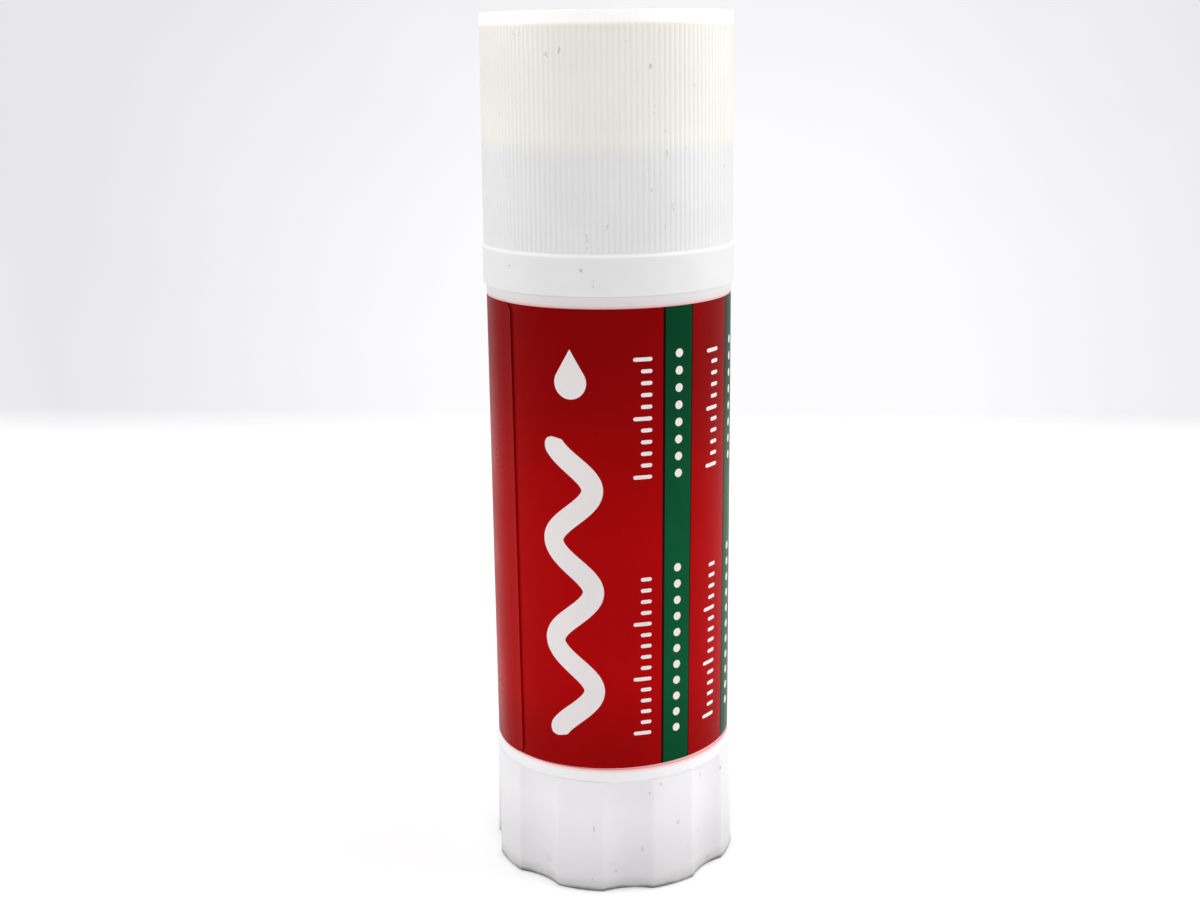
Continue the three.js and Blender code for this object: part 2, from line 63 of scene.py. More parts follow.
def widest(node):
    """The largest radius that a node of the frame reaches from the axis."""
    return max(math.hypot(v.co.x, v.co.y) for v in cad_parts[node].data.vertices)


tube_low, tube_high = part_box("tube")
label_low, label_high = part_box("label")
knob_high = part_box("knob")[1]
cap_low, cap_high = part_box("cap")
glue_low, glue_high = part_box("glue")
carrier_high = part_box("carrier")[1]


# Settings


def length(label, note, millimetres):
    """A length given in millimetres and kept in metres, which the panel shows with its unit."""
    size = millimetres * MM
    return FloatProperty(
        name=label, description=note, default=size, precision=5, unit="LENGTH", subtype="DISTANCE"
    )


def angle(label, note, degrees):
    """An angle given in degrees and kept in radians."""
    return FloatProperty(name=label, description=note, default=math.radians(degrees), subtype="ANGLE")


def fraction(label, note, default):
    """A plain number from nothing to one."""
    return FloatProperty(name=label, description=note, default=default, min=0, max=1, subtype="FACTOR")


def number(label, note, default, least):
    """A plain number with a lower limit."""
    return FloatProperty(name=label, description=note, default=default, min=least)


def count(label, note, default, least):
    """How many of a feature there are."""
    return IntProperty(name=label, description=note, default=default, min=least)


def colour(label, note, default):
    """A linear colour."""
    return FloatVectorProperty(
        name=label, description=note, default=default, size=3, min=0, max=1, subtype="COLOR"
    )


class TubeSizes(bpy.types.PropertyGroup):
    """Sizes of the barrel that the label is wrapped round."""

    radius: length("Barrel radius", "Over the label and the ring above it", widest("tube") / MM - RING_FLARE)
    wall: length("Wall", "From the label's outside in to the bore", 2.2)
    gap: length("Running gap", "Between pieces that turn or slide on each other", 0.3)
    mouth_gap: length("Mouth gap", "Hairline between the cap's mouth and the shoulder", 0.05)
    foot_gap: length("Foot gap", "Hairline between the lower ring and the knob", 0.025)
    label_recess: length("Label recess", "How far the label's seat lies under the barrel", 0.17)
    label_gap: length("Label gap", "Between the label and its seat", 0.05)
    edge_gap: length("Edge gap", "Between the label's edges and the rings over and under it", 0.02)
    ring_flare: length("Lower ring flare", "How far that ring spreads to meet the knob", RING_FLARE)
    neck_wall: length("Neck wall", "Thickness of the neck that the cap slides over", 0.95)
    neck_bead: length("Neck bead", "How far the cap's friction bead stands out", 0.22)
    floor: length("Floor", "Thickness of the tube's floor", 2)
    floor_hole: length("Floor hole", "Radius of the hole that the screw turns in", 4.3)
    spigot_step: length("Spigot step", "From the plain ring in to the spigot", 2.5)
    spigot_wall: length("Spigot wall", "Thickness of the spigot inside the knob", 1.2)
    spigot_bead: length("Spigot bead", "How far the bead that holds the knob stands out", 0.65)
    ribs: count("Ribs", "Ribs along the bore that keep the glue from turning", 4, 1)
    rib_width: length("Rib width", "Width of one rib in the bore", 1.2)
    rib_height: length("Rib height", "How far a rib stands into the bore", 0.8)
    rib_stop: length("Rib stop", "From the rim of the neck down to the ribs' tops", 6)


class KnobSizes(bpy.types.PropertyGroup):
    """Sizes of the scalloped knob."""

    foot_radius: length("Foot radius", "Over the lobes at the foot", widest("knob") / MM)
    flare: length("Flare", "How much wider the knob is at its foot than at its top", 0.25)
    scallops: count("Scallops", "Hollows round the grip", 8, 3)
    scallop_depth: length("Scallop depth", "How deep a hollow is cut", 0.95)
    scallop_radius: length("Scallop radius", "Radius of the hollow itself", 9.3)
    scallop_angle: angle("Scallop place", "From the front round to one of the hollows", 6.4)
    scallop_softness: length("Scallop softness", "Rounding of a hollow's two edges", 0.12)
    bore: length("Bore", "Radius inside, round the tube's spigot", 14.5)
    lip: length("Lip", "Radius of the lip that holds the spigot's bead", 13.8)
    lip_foot: length("Lip height", "From the foot up to the lip's underside", 7.9)
    floor: length("Floor", "Thickness of the floor over the recessed foot", 1.6)
    recess: length("Recess", "Depth of the recess under the foot", 1)
    rim: length("Rim", "Width of the flat ring that the stick stands on", 3.6)
    socket: length("Socket", "Width of the screw's socket across its flats", 6.4)
    socket_wall: length("Socket wall", "Wall round the socket", 2)
    socket_top: length("Socket top", "From the foot up to the socket's rim", 11.9)


class CapSizes(bpy.types.PropertyGroup):
    """Sizes of the fluted cap."""

    radius: length("Band radius", "Over the plain band", widest("cap") / MM)
    band: length("Band", "Height of the plain band", 5.1)
    ledge: length("Ledge", "From the band in to the flutes", 0.14)
    draft: length("Draft", "How much the flutes lean in up to the rim", 0.2)
    rim: length("Rim", "Height of the smooth rim above the flutes", 1.6)
    wall: length("Wall", "Wall at the plain band", 1.11)
    top_wall: length("Top wall", "Thickness of the top", 1.5)
    flutes: count("Flutes", "Grooves round the cap", 144, 12)
    flute_depth: length("Flute depth", "Depth of one groove", 0.05)
    flute_width: length("Flute width", "Width of one groove", 0.48)


class LabelSizes(bpy.types.PropertyGroup):
    """Sizes and colours of the printed label."""

    thickness: length("Thickness", "Thickness of the film", 0.12)
    lap_angle: angle("Lapped end", "From the front round to the end that lies on top", -50)
    overlap: angle("Overlap", "How far the end lies over the start", 12)
    climb: angle("Climb", "Over which the end climbs on to the start", 16)
    corner: length("Corner", "Rounding of the lapped end's corners", 1.2)
    askew: length("Askew", "How much higher the lower edge lies at the right than at the left", 0.45)
    stripes: count("Stripes", "Green stripes down the label", 2, 0)
    stripe_from: angle("First stripe", "From the front round to the first green stripe", 26)
    stripe_width: angle("Stripe width", "Width of a green stripe", 14.2)
    stripe_pitch: angle("Stripe pitch", "From one green stripe to the next", 43.5)
    stripe_line: angle("Stripe line", "Width of the dark line on a stripe's left", 1.3)
    lean: angle("Lean", "How far the wrap turns to the left down the label", 0.5)
    draw_in: angle("Draw-in", "How far its sides are drawn to the front down the label", 2.9)
    red: colour("Red", "Ground of the label", (0.422, 0.0012, 0.002))
    green: colour("Green", "The stripes", (0.003, 0.09, 0.031))
    line: colour("Line", "Thin lines beside the stripes", (0.012, 0.004, 0.003))
    # Painted shade: the inks get darker towards both ends of the label.
    top_shade: fraction("Top shade", "How light the inks are at the top of the label", 0.57)
    foot_shade: fraction("Foot shade", "How light the inks are at the foot of the label", 0.73)


class PrintSizes(bpy.types.PropertyGroup):
    """Sizes and colour of the plain marks printed on the label."""

    tone: colour("Print", "All the marks", (0.84, 0.80, 0.79))
    bead_angle: angle("Bead place", "From the front round to the middle of the printed bead of glue", -18)
    bead_swing: length("Bead swing", "How far the bead swings to each side", 2.7)
    bead_width: length("Bead width", "Width of the bead", 2.8)
    drop: length("Drop", "Radius of the printed drop", 2.1)
    tick: length("Tick", "Length of a long tick", 2.5)
    tick_width: length("Tick width", "Width of a tick", 0.5)
    tick_pitch: length("Tick pitch", "From one tick to the next", 1.5)
    dot: length("Dot", "Width of a dot on the stripes", 1.1)
    dot_pitch: length("Dot pitch", "From one dot to the next", 2.2)


class GlueSizes(bpy.types.PropertyGroup):
    """Sizes and colour of the glue, which rides in a cup."""

    radius: length("Glue radius", "Radius of the glue above its cup", widest("glue") / MM)
    cup_wall: length("Cup wall", "From the glue's side in to its foot inside the cup", 1.8)
    cup_depth: length("Cup depth", "From the glue's foot up to where it widens over the cup", 5.2)
    bore: length("Bore", "Radius of the hole that the screw leaves", 4.1)
    nut: length("Nut", "Radius of the room round the carrier's nut", 6.1)
    edge: length("Edge", "Rounding of the glue's worn top edge", 1.1)
    unevenness: length("Unevenness", "How far the glue's side swells and sinks", 0.05)
    tone: colour("Glue", "The glue itself", (0.86, 0.82, 0.72))


class PlasticColours(bpy.types.PropertyGroup):
    """Colours of the moulded plastics."""

    white: colour("White plastic", "Cap, tube and knob", (0.84, 0.834, 0.834))
    # Painted light: the cap is painted lighter and warmer above the neck, and lighter still at its rim, for
    # light that comes through the plastic.
    hollow: colour("Hollow cap", "The cap where nothing stands behind its wall", (0.925, 0.897, 0.832))
    rim: colour("Rim", "The cap's solid top rim", (0.97, 0.965, 0.95))
    # Painted glow: emission on the cap's rim and a painted highlight just under its ledge.
    rim_glow: fraction("Rim glow", "How much light comes out of the cap's thick rim and ledge", 0.16)
    # Painted shade in the cap's grooves.
    groove_shade: fraction("Groove dust", "How much the dust in the cap's grooves darkens them", 0.045)
    # Painted light on the tube's rings: the ring under the label is painted lighter; the ring over it is
    # painted in shade under the cap, pinked by the label's painted red reflection; both are painted pink
    # next to the label's edges.
    bright_foot_ring: colour("Foot ring", "The ring under the label", (0.90, 0.895, 0.90))
    shaded_pink_ring: colour("Stained ring", "The ring that the label's ink has tinted", (0.76, 0.70, 0.70))
    top_red_glow: colour("Blushed ring", "That ring where it meets the label", (0.79, 0.42, 0.43))
    foot_red_glow: colour("Blushed foot ring", "The ring under the label where it meets it", (0.98, 0.55, 0.57))
    knob: colour("Knob", "The knob's upper part", (0.875, 0.86, 0.885))
    # Painted shade: the knob's tones get darker towards the floor. The darkest, at the very foot, is partly
    # real dirt and partly painted contact shadow, and it also paints the shade in the cap's grooves.
    shaded_knob_low: colour("Handled knob", "The lower part of the knob", (0.70, 0.685, 0.70))
    shaded_knob_foot: colour("Soiled foot", "Just above the knob's foot", (0.55, 0.53, 0.525))
    grime_and_painted_shade: colour("Grime", "The knob's foot, where it stands on dusty tables", (0.09, 0.085, 0.08))
    warm: colour("Warm plastic", "Screw and carrier", (0.80, 0.79, 0.76))
    dirt: colour("Specks", "Brown-grey dust that clings to the plastic", (0.42, 0.38, 0.36))


class StudioSizes(bpy.types.PropertyGroup):
    """The camera's place, the floor and the room."""

    camera_back: length("Camera distance", "From the stick's axis to the lens", 210.2)
    camera_height: length("Camera height", "Above the floor", 109.3)
    camera_pitch: angle("Pitch", "How far the camera looks down", 14.09)
    camera_turn: angle("Turn", "How far the camera looks to the right", -0.38)
    camera_roll: angle("Roll", "How far the picture leans", 0.66)
    lens: number("Lens", "Focal length in millimetres", 48.3, 1)
    floor_reach: length("Floor reach", "From the stick to where the floor meets the backdrop", 274)
    floor_turn: angle("Floor turn", "How far the floor is turned to the left seen from above", -4.2)
    floor_fade: length("Floor fade", "Over which the floor fades into the backdrop", 50)
    floor_lift: fraction("Floor lift", "How much the floor is lightened where it is looked at", 0.19)
    floor_tone: colour("Floor", "The floor where it is palest", (0.93, 0.93, 0.938))
    floor_dim: colour("Dim floor", "Its faint blotches", (0.90, 0.90, 0.912))
    sky: number("Room light", "Strength of the even light", 0.55, 0)
    backdrop: colour("Backdrop", "The middle of the pale wall behind", (0.98, 0.98, 1.0))
    backdrop_dim: colour("Dim backdrop", "The wall's dimmer ends", (0.80, 0.79, 0.825))
    glow_turn: angle("Glow turn", "How far to the right of the stick the wall is brightest", 3.2)
    glow_height: angle("Glow height", "How far under eye level the wall is brightest", 12.3)


class GlueStickSettings(bpy.types.PropertyGroup):
    """Everything that a user would change."""

    tube: PointerProperty(type=TubeSizes, name="Tube", description="Sizes of the tube")
    knob: PointerProperty(type=KnobSizes, name="Knob", description="Sizes of the knob")
    cap: PointerProperty(type=CapSizes, name="Cap", description="Sizes of the cap")
    label: PointerProperty(type=LabelSizes, name="Label", description="Sizes and colours of the label")
    print: PointerProperty(type=PrintSizes, name="Print", description="Marks printed on the label")
    glue: PointerProperty(type=GlueSizes, name="Glue", description="Sizes and colour of the glue")
    plastic: PointerProperty(type=PlasticColours, name="Plastic", description="Colours of the plastics")
    studio: PointerProperty(type=StudioSizes, name="Studio", description="Camera, floor and room light")


# Meshes


def between(low, high, share):
    """A value part of the way from one to another."""
    return low + (high - low) * share


def spaced(low, high, steps):
    """Even values from one to another, both included."""
    return [between(low, high, i / steps) for i in range(steps + 1)]


def held(value):
    """A value kept from nothing to one."""
    return max(0, min(1, value))


def even_turns(steps):
    """That many equal steps once round."""
    return [2 * math.pi * i / steps for i in range(steps)]


def from_nearest(turn, pitch, first=0):
    """The angle from the nearest of the features that lie a pitch apart."""
    return (turn - first + pitch / 2) % pitch - pitch / 2


def place(turn, radius, height):
    """A point at an angle round from the front, which faces -Y, towards +X."""
    return (radius * math.sin(turn), -radius * math.cos(turn), height)


def marked(points, mark=0):
    """Profile points with a mark that says which feature shapes them."""
    return [(radius, height, mark) for radius, height in points]


def soft_min(a, b, softness):
    """The smaller of two lengths, with the crossing rounded."""
    blend = max(0, softness - abs(a - b)) / softness
    return min(a, b) - blend * blend * softness / 4


def rounded(corners, steps=5):
    """A profile of (radius, height, rounding) corners with each rounding turned into an arc."""
    points = []
    for i, (radius, height, size) in enumerate(corners):
        if size <= 0:
            points.append((radius, height))
            continue
        here = Vector((radius, height))
        to_last = (Vector(corners[i - 1][:2]) - here).normalized()
        to_next = (Vector(corners[i + 1][:2]) - here).normalized()
        half = math.acos(max(-1, min(1, to_last.dot(to_next)))) / 2
        centre = here + (to_last + to_next).normalized() * (size / math.sin(half))
        start = here + to_last * (size / math.tan(half)) - centre
        sweep = start.angle_signed(here + to_next * (size / math.tan(half)) - centre)
        for step in range(steps + 1):
            turned = start.copy()
            turned.rotate(Matrix.Rotation(-sweep * step / steps, 2))
            points.append(tuple(centre + turned))
    return points


class Draft:
    """Corners and faces gathered for one mesh."""

    def __init__(self):
        self.corners = []
        self.faces = []
        self.materials = []

    def turned(self, rows, turns, shaped):
        """A closed profile of (radius, height, mark) rows swept round the axis. A row with a mark
        gets its radius from shaped(turn, radius, height, mark)."""
        lines = []
        for radius, height, mark in rows:
            first = len(self.corners)
            if radius == 0:
                lines.append([first] * len(turns))
                self.corners.append((0, 0, height))
                continue
            lines.append(range(first, first + len(turns)))
            for turn in turns:
                reach = shaped(turn, radius, height, mark) if mark else radius
                self.corners.append(place(turn, reach, height))
        for low, high in zip(lines, lines[1:] + lines[:1]):
            for i in range(len(turns)):
                j = (i + 1) % len(turns)
                self.add_face((low[i], low[j], high[j], high[i]))

    def sheet(self, columns, inner, thickness, drawn, material=lambda column: 0):
        """A thin sheet that bends round the axis. columns holds rows of (turn, height) corners,
        and drawn(turn, height) says where each of them comes to lie."""
        rows = len(columns[0])
        first = len(self.corners)
        for lift in (0, thickness):
            for column in columns:
                for turn, height in column:
                    self.corners.append(place(drawn(turn, height), inner(turn) + lift, height))
        far = len(columns) * rows

        def at(column, row, side):
            """The number of a corner on the inner side, 0, or the outer side, 1."""
            return first + side * far + column * rows + row

        for c in range(len(columns) - 1):
            for r in range(rows - 1):
                for side in (0, 1):
                    face = (at(c, r, side), at(c + 1, r, side), at(c + 1, r + 1, side), at(c, r + 1, side))
                    self.add_face(face if side else face[::-1], material(c))
            for r in (0, rows - 1):
                face = (at(c, r, 0), at(c + 1, r, 0), at(c + 1, r, 1), at(c, r, 1))
                self.add_face(face if r == 0 else face[::-1], material(c))
        for c, end in ((0, 0), (len(columns) - 1, len(columns) - 2)):
            for r in range(rows - 1):
                face = (at(c, r, 0), at(c, r, 1), at(c, r + 1, 1), at(c, r + 1, 0))
                self.add_face(face if c == 0 else face[::-1], material(end))

    def add_face(self, corners, material=0):
        """A face between corners, left out where it has shrunk to a line on the axis."""
        face = tuple(dict.fromkeys(corners))
        if len(face) > 2:
            self.faces.append(face)
            self.materials.append(material)

    def finish(self, name, materials, smooth_under=35):
        """The mesh as an object with its materials, its faces turned out and its soft edges smoothed."""
        mesh = bpy.data.meshes.new(name)
        mesh.from_pydata(self.corners, [], self.faces)
        mesh.polygons.foreach_set("material_index", self.materials)
        editable = bmesh.new()
        editable.from_mesh(mesh)
        bmesh.ops.recalc_face_normals(editable, faces=editable.faces)
        editable.to_mesh(mesh)
        editable.free()
        mesh.shade_smooth()
        mesh.set_sharp_from_angle(angle=math.radians(smooth_under))
        for material in materials:
            mesh.materials.append(material)
        made = bpy.data.objects.new(name, mesh)
        bpy.context.scene.collection.objects.link(made)
        return made


# Shader nodes

FLOAT = "NodeSocketFloat"
COLOUR = "NodeSocketColor"
VECTOR = "NodeSocketVector"
BLACK = (0, 0, 0)
WHITE = (1, 1, 1)
# Roughness where a moulding is smoothest and where it is roughest.
SATIN = (0.3, 0.46)
MATT = (0.42, 0.6)


def opaque(tone):
    """A colour as four numbers."""
    return (*tone, 1)


def shaded(tone, factor):
    """A colour made darker or lighter by a factor."""
    return [min(1, channel * factor) for channel in tone]


def feed(tree, socket, value):
    """A plain value for a socket, or a link from the output that is given instead."""
    if isinstance(value, bpy.types.NodeSocket):
        tree.links.new(value, socket)
    else:
        socket.default_value = value


def add_node(tree, kind, inputs=None, **settings):
    """A shader node with its settings. Each input is a value or another node's output."""
    made = tree.nodes.new("ShaderNode" + kind)
    for key, value in settings.items():
        setattr(made, key, value)
    for socket, value in (inputs or {}).items():
        feed(tree, made.inputs[socket], value)
    return made


def worked_out(tree, operation, *values, clamp=False):
    """The result of a sum on values or outputs."""
    inputs = dict(enumerate(values))
    return add_node(tree, "Math", inputs, operation=operation, use_clamp=clamp).outputs[0]


def scaled(tree, vector, factors, offset):
    """A vector times factors, plus an offset."""
    inputs = {0: vector, 1: factors, 2: offset}
    return add_node(tree, "VectorMath", inputs, operation="MULTIPLY_ADD").outputs[0]


def own_place(tree):
    """Where a point lies on its piece, which stays the same when the piece moves."""
    return add_node(tree, "TexCoord").outputs["Object"]


def parts(tree, vector):
    """The three parts of a vector."""
    return add_node(tree, "SeparateXYZ", {0: vector}).outputs


def ranged(tree, value, low, high, to_low=0.0, to_high=1.0, curve="LINEAR"):
    """A value stretched from one range to another and held inside it."""
    inputs = {"Value": value, "From Min": low, "From Max": high, "To Min": to_low, "To Max": to_high}
    return add_node(tree, "MapRange", inputs, interpolation_type=curve).outputs["Result"]


def mixed(tree, share, first, second):
    """Two colours mixed by a share."""
    mix = add_node(tree, "Mix", data_type="RGBA")
    for socket, value in zip([s for s in mix.inputs if s.enabled], (share, first, second)):
        feed(tree, socket, value)
    return next(s for s in mix.outputs if s.enabled)


def noise(tree, where, scale, detail, roughness=0.5):
    """Soft blotches from nothing to one."""
    inputs = {"Vector": where, "Scale": scale, "Detail": detail, "Roughness": roughness}
    return add_node(tree, "TexNoise", inputs).outputs


def blotches(tree, size, detail):
    """Noise on a piece whose blotches are about that large."""
    return noise(tree, own_place(tree), worked_out(tree, "DIVIDE", 1.0, size), detail, 0.55)["Fac"]


# Shader groups shared by several finishes


def new_group(name, inputs, outputs):
    """An empty shader group with the sockets that give its inputs, as (name, kind, default),
    and the sockets that take its outputs."""
    tree = bpy.data.node_groups.new(name, "ShaderNodeTree")
    for label, kind, default in inputs:
        socket = tree.interface.new_socket(label, in_out="INPUT", socket_type=kind)
        socket.default_value = default
    for label, kind in outputs:
        tree.interface.new_socket(label, in_out="OUTPUT", socket_type=kind)
    return tree, tree.nodes.new("NodeGroupInput").outputs, tree.nodes.new("NodeGroupOutput").inputs


def moulded_group(name):
    """Tone, gloss and skin of moulded plastic or printed film."""
    tree, given, result = new_group(
        name,
        [
            ("Tone", COLOUR, (0.8, 0.8, 0.8, 1)),
            ("Mottle", FLOAT, 0.05),
            ("Patch Size", FLOAT, 10 * MM),
            ("Grain Size", FLOAT, 0.4 * MM),
            ("Smoothest", FLOAT, 0.3),
            ("Roughest", FLOAT, 0.45),
        ],
        [("Color", COLOUR), ("Roughness", FLOAT), ("Height", FLOAT)],
    )
    patches = ranged(tree, blotches(tree, given["Patch Size"], 3), 0.3, 0.7)
    grain = blotches(tree, given["Grain Size"], 4)
    dulled = worked_out(tree, "MULTIPLY", patches, given["Mottle"])
    uneven = worked_out(tree, "MULTIPLY_ADD", patches, 0.5, worked_out(tree, "MULTIPLY", grain, 0.5))
    gloss = ranged(tree, uneven, 0.25, 0.75, given["Smoothest"], given["Roughest"])
    feed(tree, result["Color"], mixed(tree, dulled, given["Tone"], opaque(BLACK)))
    feed(tree, result["Roughness"], gloss)
    feed(tree, result["Height"], grain)
    return tree


def speck_group(name):
    """A mask of scattered dust specks, a few of them drawn out into short fibres."""
    tree, given, result = new_group(
        name,
        [
            ("Spacing", FLOAT, 4 * MM),
            ("Speck Size", FLOAT, 0.05),
            ("Share", FLOAT, 0.3),
            ("Stretch", VECTOR, (1, 1, 1)),
            ("Offset", VECTOR, (0, 0, 0)),
        ],
        [("Mask", FLOAT)],
    )
    where = own_place(tree)
    stretched = scaled(tree, where, given["Stretch"], given["Offset"])
    wobble = noise(tree, where, 1.3 / MM, 3)["Color"]
    bent = scaled(tree, wobble, [1.1 * MM] * 3, stretched)
    per_metre = worked_out(tree, "DIVIDE", 1.0, given["Spacing"])
    cells = add_node(tree, "TexVoronoi", {"Vector": bent, "Scale": per_metre}, feature="F1").outputs
    near = ranged(tree, cells["Distance"], 0.0, given["Speck Size"], 1.0, 0.0)
    dice = add_node(tree, "SeparateColor", {0: cells["Color"]}).outputs[0]
    chosen = worked_out(tree, "LESS_THAN", dice, given["Share"])
    feed(tree, result["Mask"], worked_out(tree, "MULTIPLY", near, chosen))
    return tree


def height_group(name):
    """A mask that rises with height over a piece, with a border that wanders up and down."""
    tree, given, result = new_group(
        name,
        [
            ("Start", FLOAT, 0.0),
            ("End", FLOAT, 10 * MM),
            ("Wander", FLOAT, 0.0),
            ("Blotch Size", FLOAT, 3 * MM),
        ],
        [("Share", FLOAT)],
    )
    height = parts(tree, own_place(tree))["Z"]
    centred = worked_out(tree, "SUBTRACT", blotches(tree, given["Blotch Size"], 3), 0.5)
    wandering = worked_out(tree, "MULTIPLY_ADD", centred, given["Wander"], height)
    rise = ranged(tree, wandering, given["Start"], given["End"], curve="SMOOTHSTEP")
    feed(tree, result["Share"], rise)
    return tree


def place_group(tree, name, build, *values):
    """The outputs of a shared group placed with values for its inputs. The first use builds it."""
    shared = bpy.data.node_groups.get(name) or build(name)
    return add_node(tree, "Group", dict(enumerate(values)), node_tree=shared).outputs


def specks(tree, spacing, size, share, stretch, offset):
    """A mask of specks. size is a share of the spacing, share says how many of the places hold one,
    and the offset picks other places."""
    shift = (0, 0, offset)
    return place_group(tree, "dust_specks", speck_group, spacing, size, share, stretch, shift)["Mask"]


def risen(tree, start, end, wander=0.0, blotch=3 * MM):
    """How far a point has come from one height to another, across a border that may wander."""
    return place_group(tree, "height_share", height_group, start, end, wander, blotch)["Share"]


def banded(tree, tone, bands, wander=0.0):
    """A tone that changes up a piece. Each band is (start, end, tone above it)."""
    under = opaque(tone)
    for start, end, over in bands:
        under = mixed(tree, risen(tree, start, end, wander, 3.5 * MM), under, opaque(over))
    return under


# Finishes


def new_material(name):
    """A node material with its node tree and the inputs of its shader."""
    made = bpy.data.materials.new(name)
    made.use_nodes = True
    return made, made.node_tree, made.node_tree.nodes["Principled BSDF"].inputs


def skinned(tree, shader, tone, mottle, patch, grain, gloss, bump):
    """A moulded skin that feeds the shader's colour, roughness and normal. gloss is (smoothest,
    roughest) and bump is (strength, height)."""
    skin = place_group(tree, "moulded_surface", moulded_group, tone, mottle, patch, grain, *gloss)
    inputs = {"Height": skin["Height"], "Strength": bump[0], "Distance": bump[1]}
    feed(tree, shader["Base Color"], skin["Color"])
    feed(tree, shader["Roughness"], skin["Roughness"])
    feed(tree, shader["Normal"], add_node(tree, "Bump", inputs).outputs["Normal"])


def overlaid(tree, shader, share, tone):
    """One more tone laid over a finish by a share."""
    under = shader["Base Color"].links[0].from_socket
    feed(tree, shader["Base Color"], mixed(tree, share, under, opaque(tone)))


def plastic(name, tone, dirt, bands=(), wander=0.0, scatter=0.0, gloss=SATIN):
    """Moulded plastic with faint mottling, a fine skin and dust."""
    made, tree, shader = new_material(name)
    toned = banded(tree, tone, bands, wander)
    bump = (0.12, 0.04 * MM)
    skinned(tree, shader, toned, mottle=0.05, patch=9 * MM, grain=0.6 * MM, gloss=gloss, bump=bump)
    dust = specks(tree, spacing=2.7 * MM, size=0.09, share=1.0, stretch=(1, 1, 0.6), offset=scatter)
    fibres = specks(tree, spacing=2.4 * MM, size=0.07, share=0.7, stretch=(0.7, 1, 0.3), offset=scatter)
    overlaid(tree, shader, dust, dirt)
    overlaid(tree, shader, fibres, shaded(dirt, 1.3))
    return made, tree, shader


def groove_shade_share(tree, settings):
    """How deep in a groove of the cap a point lies, times how much painted shade the grooves get."""
    where = parts(tree, own_place(tree))
    ahead = worked_out(tree, "MULTIPLY", where["Y"], -1.0)
    turn = worked_out(tree, "ARCTAN2", where["X"], ahead)
    waves = worked_out(tree, "MULTIPLY", turn, float(settings.cap.flutes))
    # The grooves' painted shade, deepest in the middle of each groove.
    dust = ranged(tree, worked_out(tree, "COSINE", waves), -1.0, 1.0, 0.0, settings.plastic.groove_shade)
    flute_foot = cap_low.z + settings.cap.band
    return worked_out(tree, "MULTIPLY", dust, risen(tree, flute_foot, flute_foot + 0.2 * MM))


def cap_plastic(settings):
    """White plastic painted lighter and warmer from above the tube's neck up to the solid rim, as painted
    light shining through its wall, with a painted glow on the rim, a painted highlight under the ledge and
    painted shade in its grooves.
    """
    tones = settings.plastic
    ledge = cap_low.z + settings.cap.band
    hollow_from = tube_high.z + 1.9 * MM
    rim_from = cap_high.z - settings.cap.rim - 0.4 * MM
    rim_full = rim_from + 0.6 * MM
    top_from = cap_high.z - 0.2 * MM
    top_full = cap_high.z - 0.03 * MM
    # Painted light: lighter and warmer above the neck, lighter still at the rim, plain white again on the
    # top.
    bands = (
        (hollow_from, hollow_from + 3 * MM, tones.hollow),
        (rim_from, rim_full, tones.rim),
        (top_from, top_full, tones.white),
    )
    made, tree, shader = plastic("cap_plastic", tones.white, tones.dirt, bands, scatter=11 * MM)
    # Painted shade in the grooves, in the darkest tone.
    overlaid(tree, shader, groove_shade_share(tree, settings), tones.grime_and_painted_shade)
    # Emission that paints a highlight just under the ledge and a glow on the rim, but none on the top.
    painted_glow_bands = (
        (ledge - 0.5 * MM, ledge - 0.2 * MM, shaded(tones.rim, 0.8)),
        (ledge - 0.1 * MM, ledge + 0.2 * MM, BLACK),
        (rim_from, rim_full, tones.rim),
        (top_from, top_full, BLACK),
    )
    feed(tree, shader["Emission Color"], banded(tree, BLACK, painted_glow_bands))
    shader["Emission Strength"].default_value = tones.rim_glow
    return made


def tube_plastic(settings):
    """White plastic with painted light on its rings: the ring under the label painted lighter, the ring over
    it painted in shade under the cap, and both painted pink next to the label as its red reflection.
    """
    tones = settings.plastic
    shoulder = cap_low.z - settings.tube.mouth_gap
    red_glow_width = 0.6 * MM
    bands = (
        (label_low.z - red_glow_width, label_low.z, tones.foot_red_glow),
        (label_low.z, label_low.z + 2 * MM, tones.white),
        (label_high.z - red_glow_width, label_high.z, tones.top_red_glow),
        (label_high.z, label_high.z + 0.5 * MM, tones.shaded_pink_ring),
        (label_high.z + 0.3 * MM, shoulder + 0.4 * MM, tones.white),
    )
    return plastic("tube_plastic", tones.bright_foot_ring, tones.dirt, bands)[0]


def knob_plastic(settings):
    """White plastic darkened towards the foot by painted shade where it meets the floor, the very foot dark
    with dirt and painted contact shadow, and smudges low down.
    """
    tones = settings.plastic
    # Painted shade towards the floor, with real dirt and painted contact shadow at the very foot.
    bands = (
        (0.05 * MM, 0.7 * MM, tones.shaded_knob_foot),
        (0.3 * MM, 2.2 * MM, tones.shaded_knob_low),
        (-0.5 * MM, 12 * MM, tones.knob),
    )
    made, tree, shader = plastic(
        "knob_plastic", tones.grime_and_painted_shade, tones.dirt, bands, wander=0.9 * MM, scatter=20 * MM
    )
    smudges = specks(tree, spacing=2.9 * MM, size=0.24, share=0.9, stretch=(1, 1, 0.8), offset=7 * MM)
    higher = risen(tree, start=0.0, end=6 * MM, wander=2 * MM)
    low_down = worked_out(tree, "SUBTRACT", 0.75, higher, clamp=True)
    overlaid(tree, shader, worked_out(tree, "MULTIPLY", smudges, low_down), tones.dirt)
    return made


def warm_plastic(settings):
    """Plain off-white plastic, duller than the shells."""
    return plastic("warm_plastic", settings.plastic.warm, settings.plastic.dirt, gloss=MATT)[0]


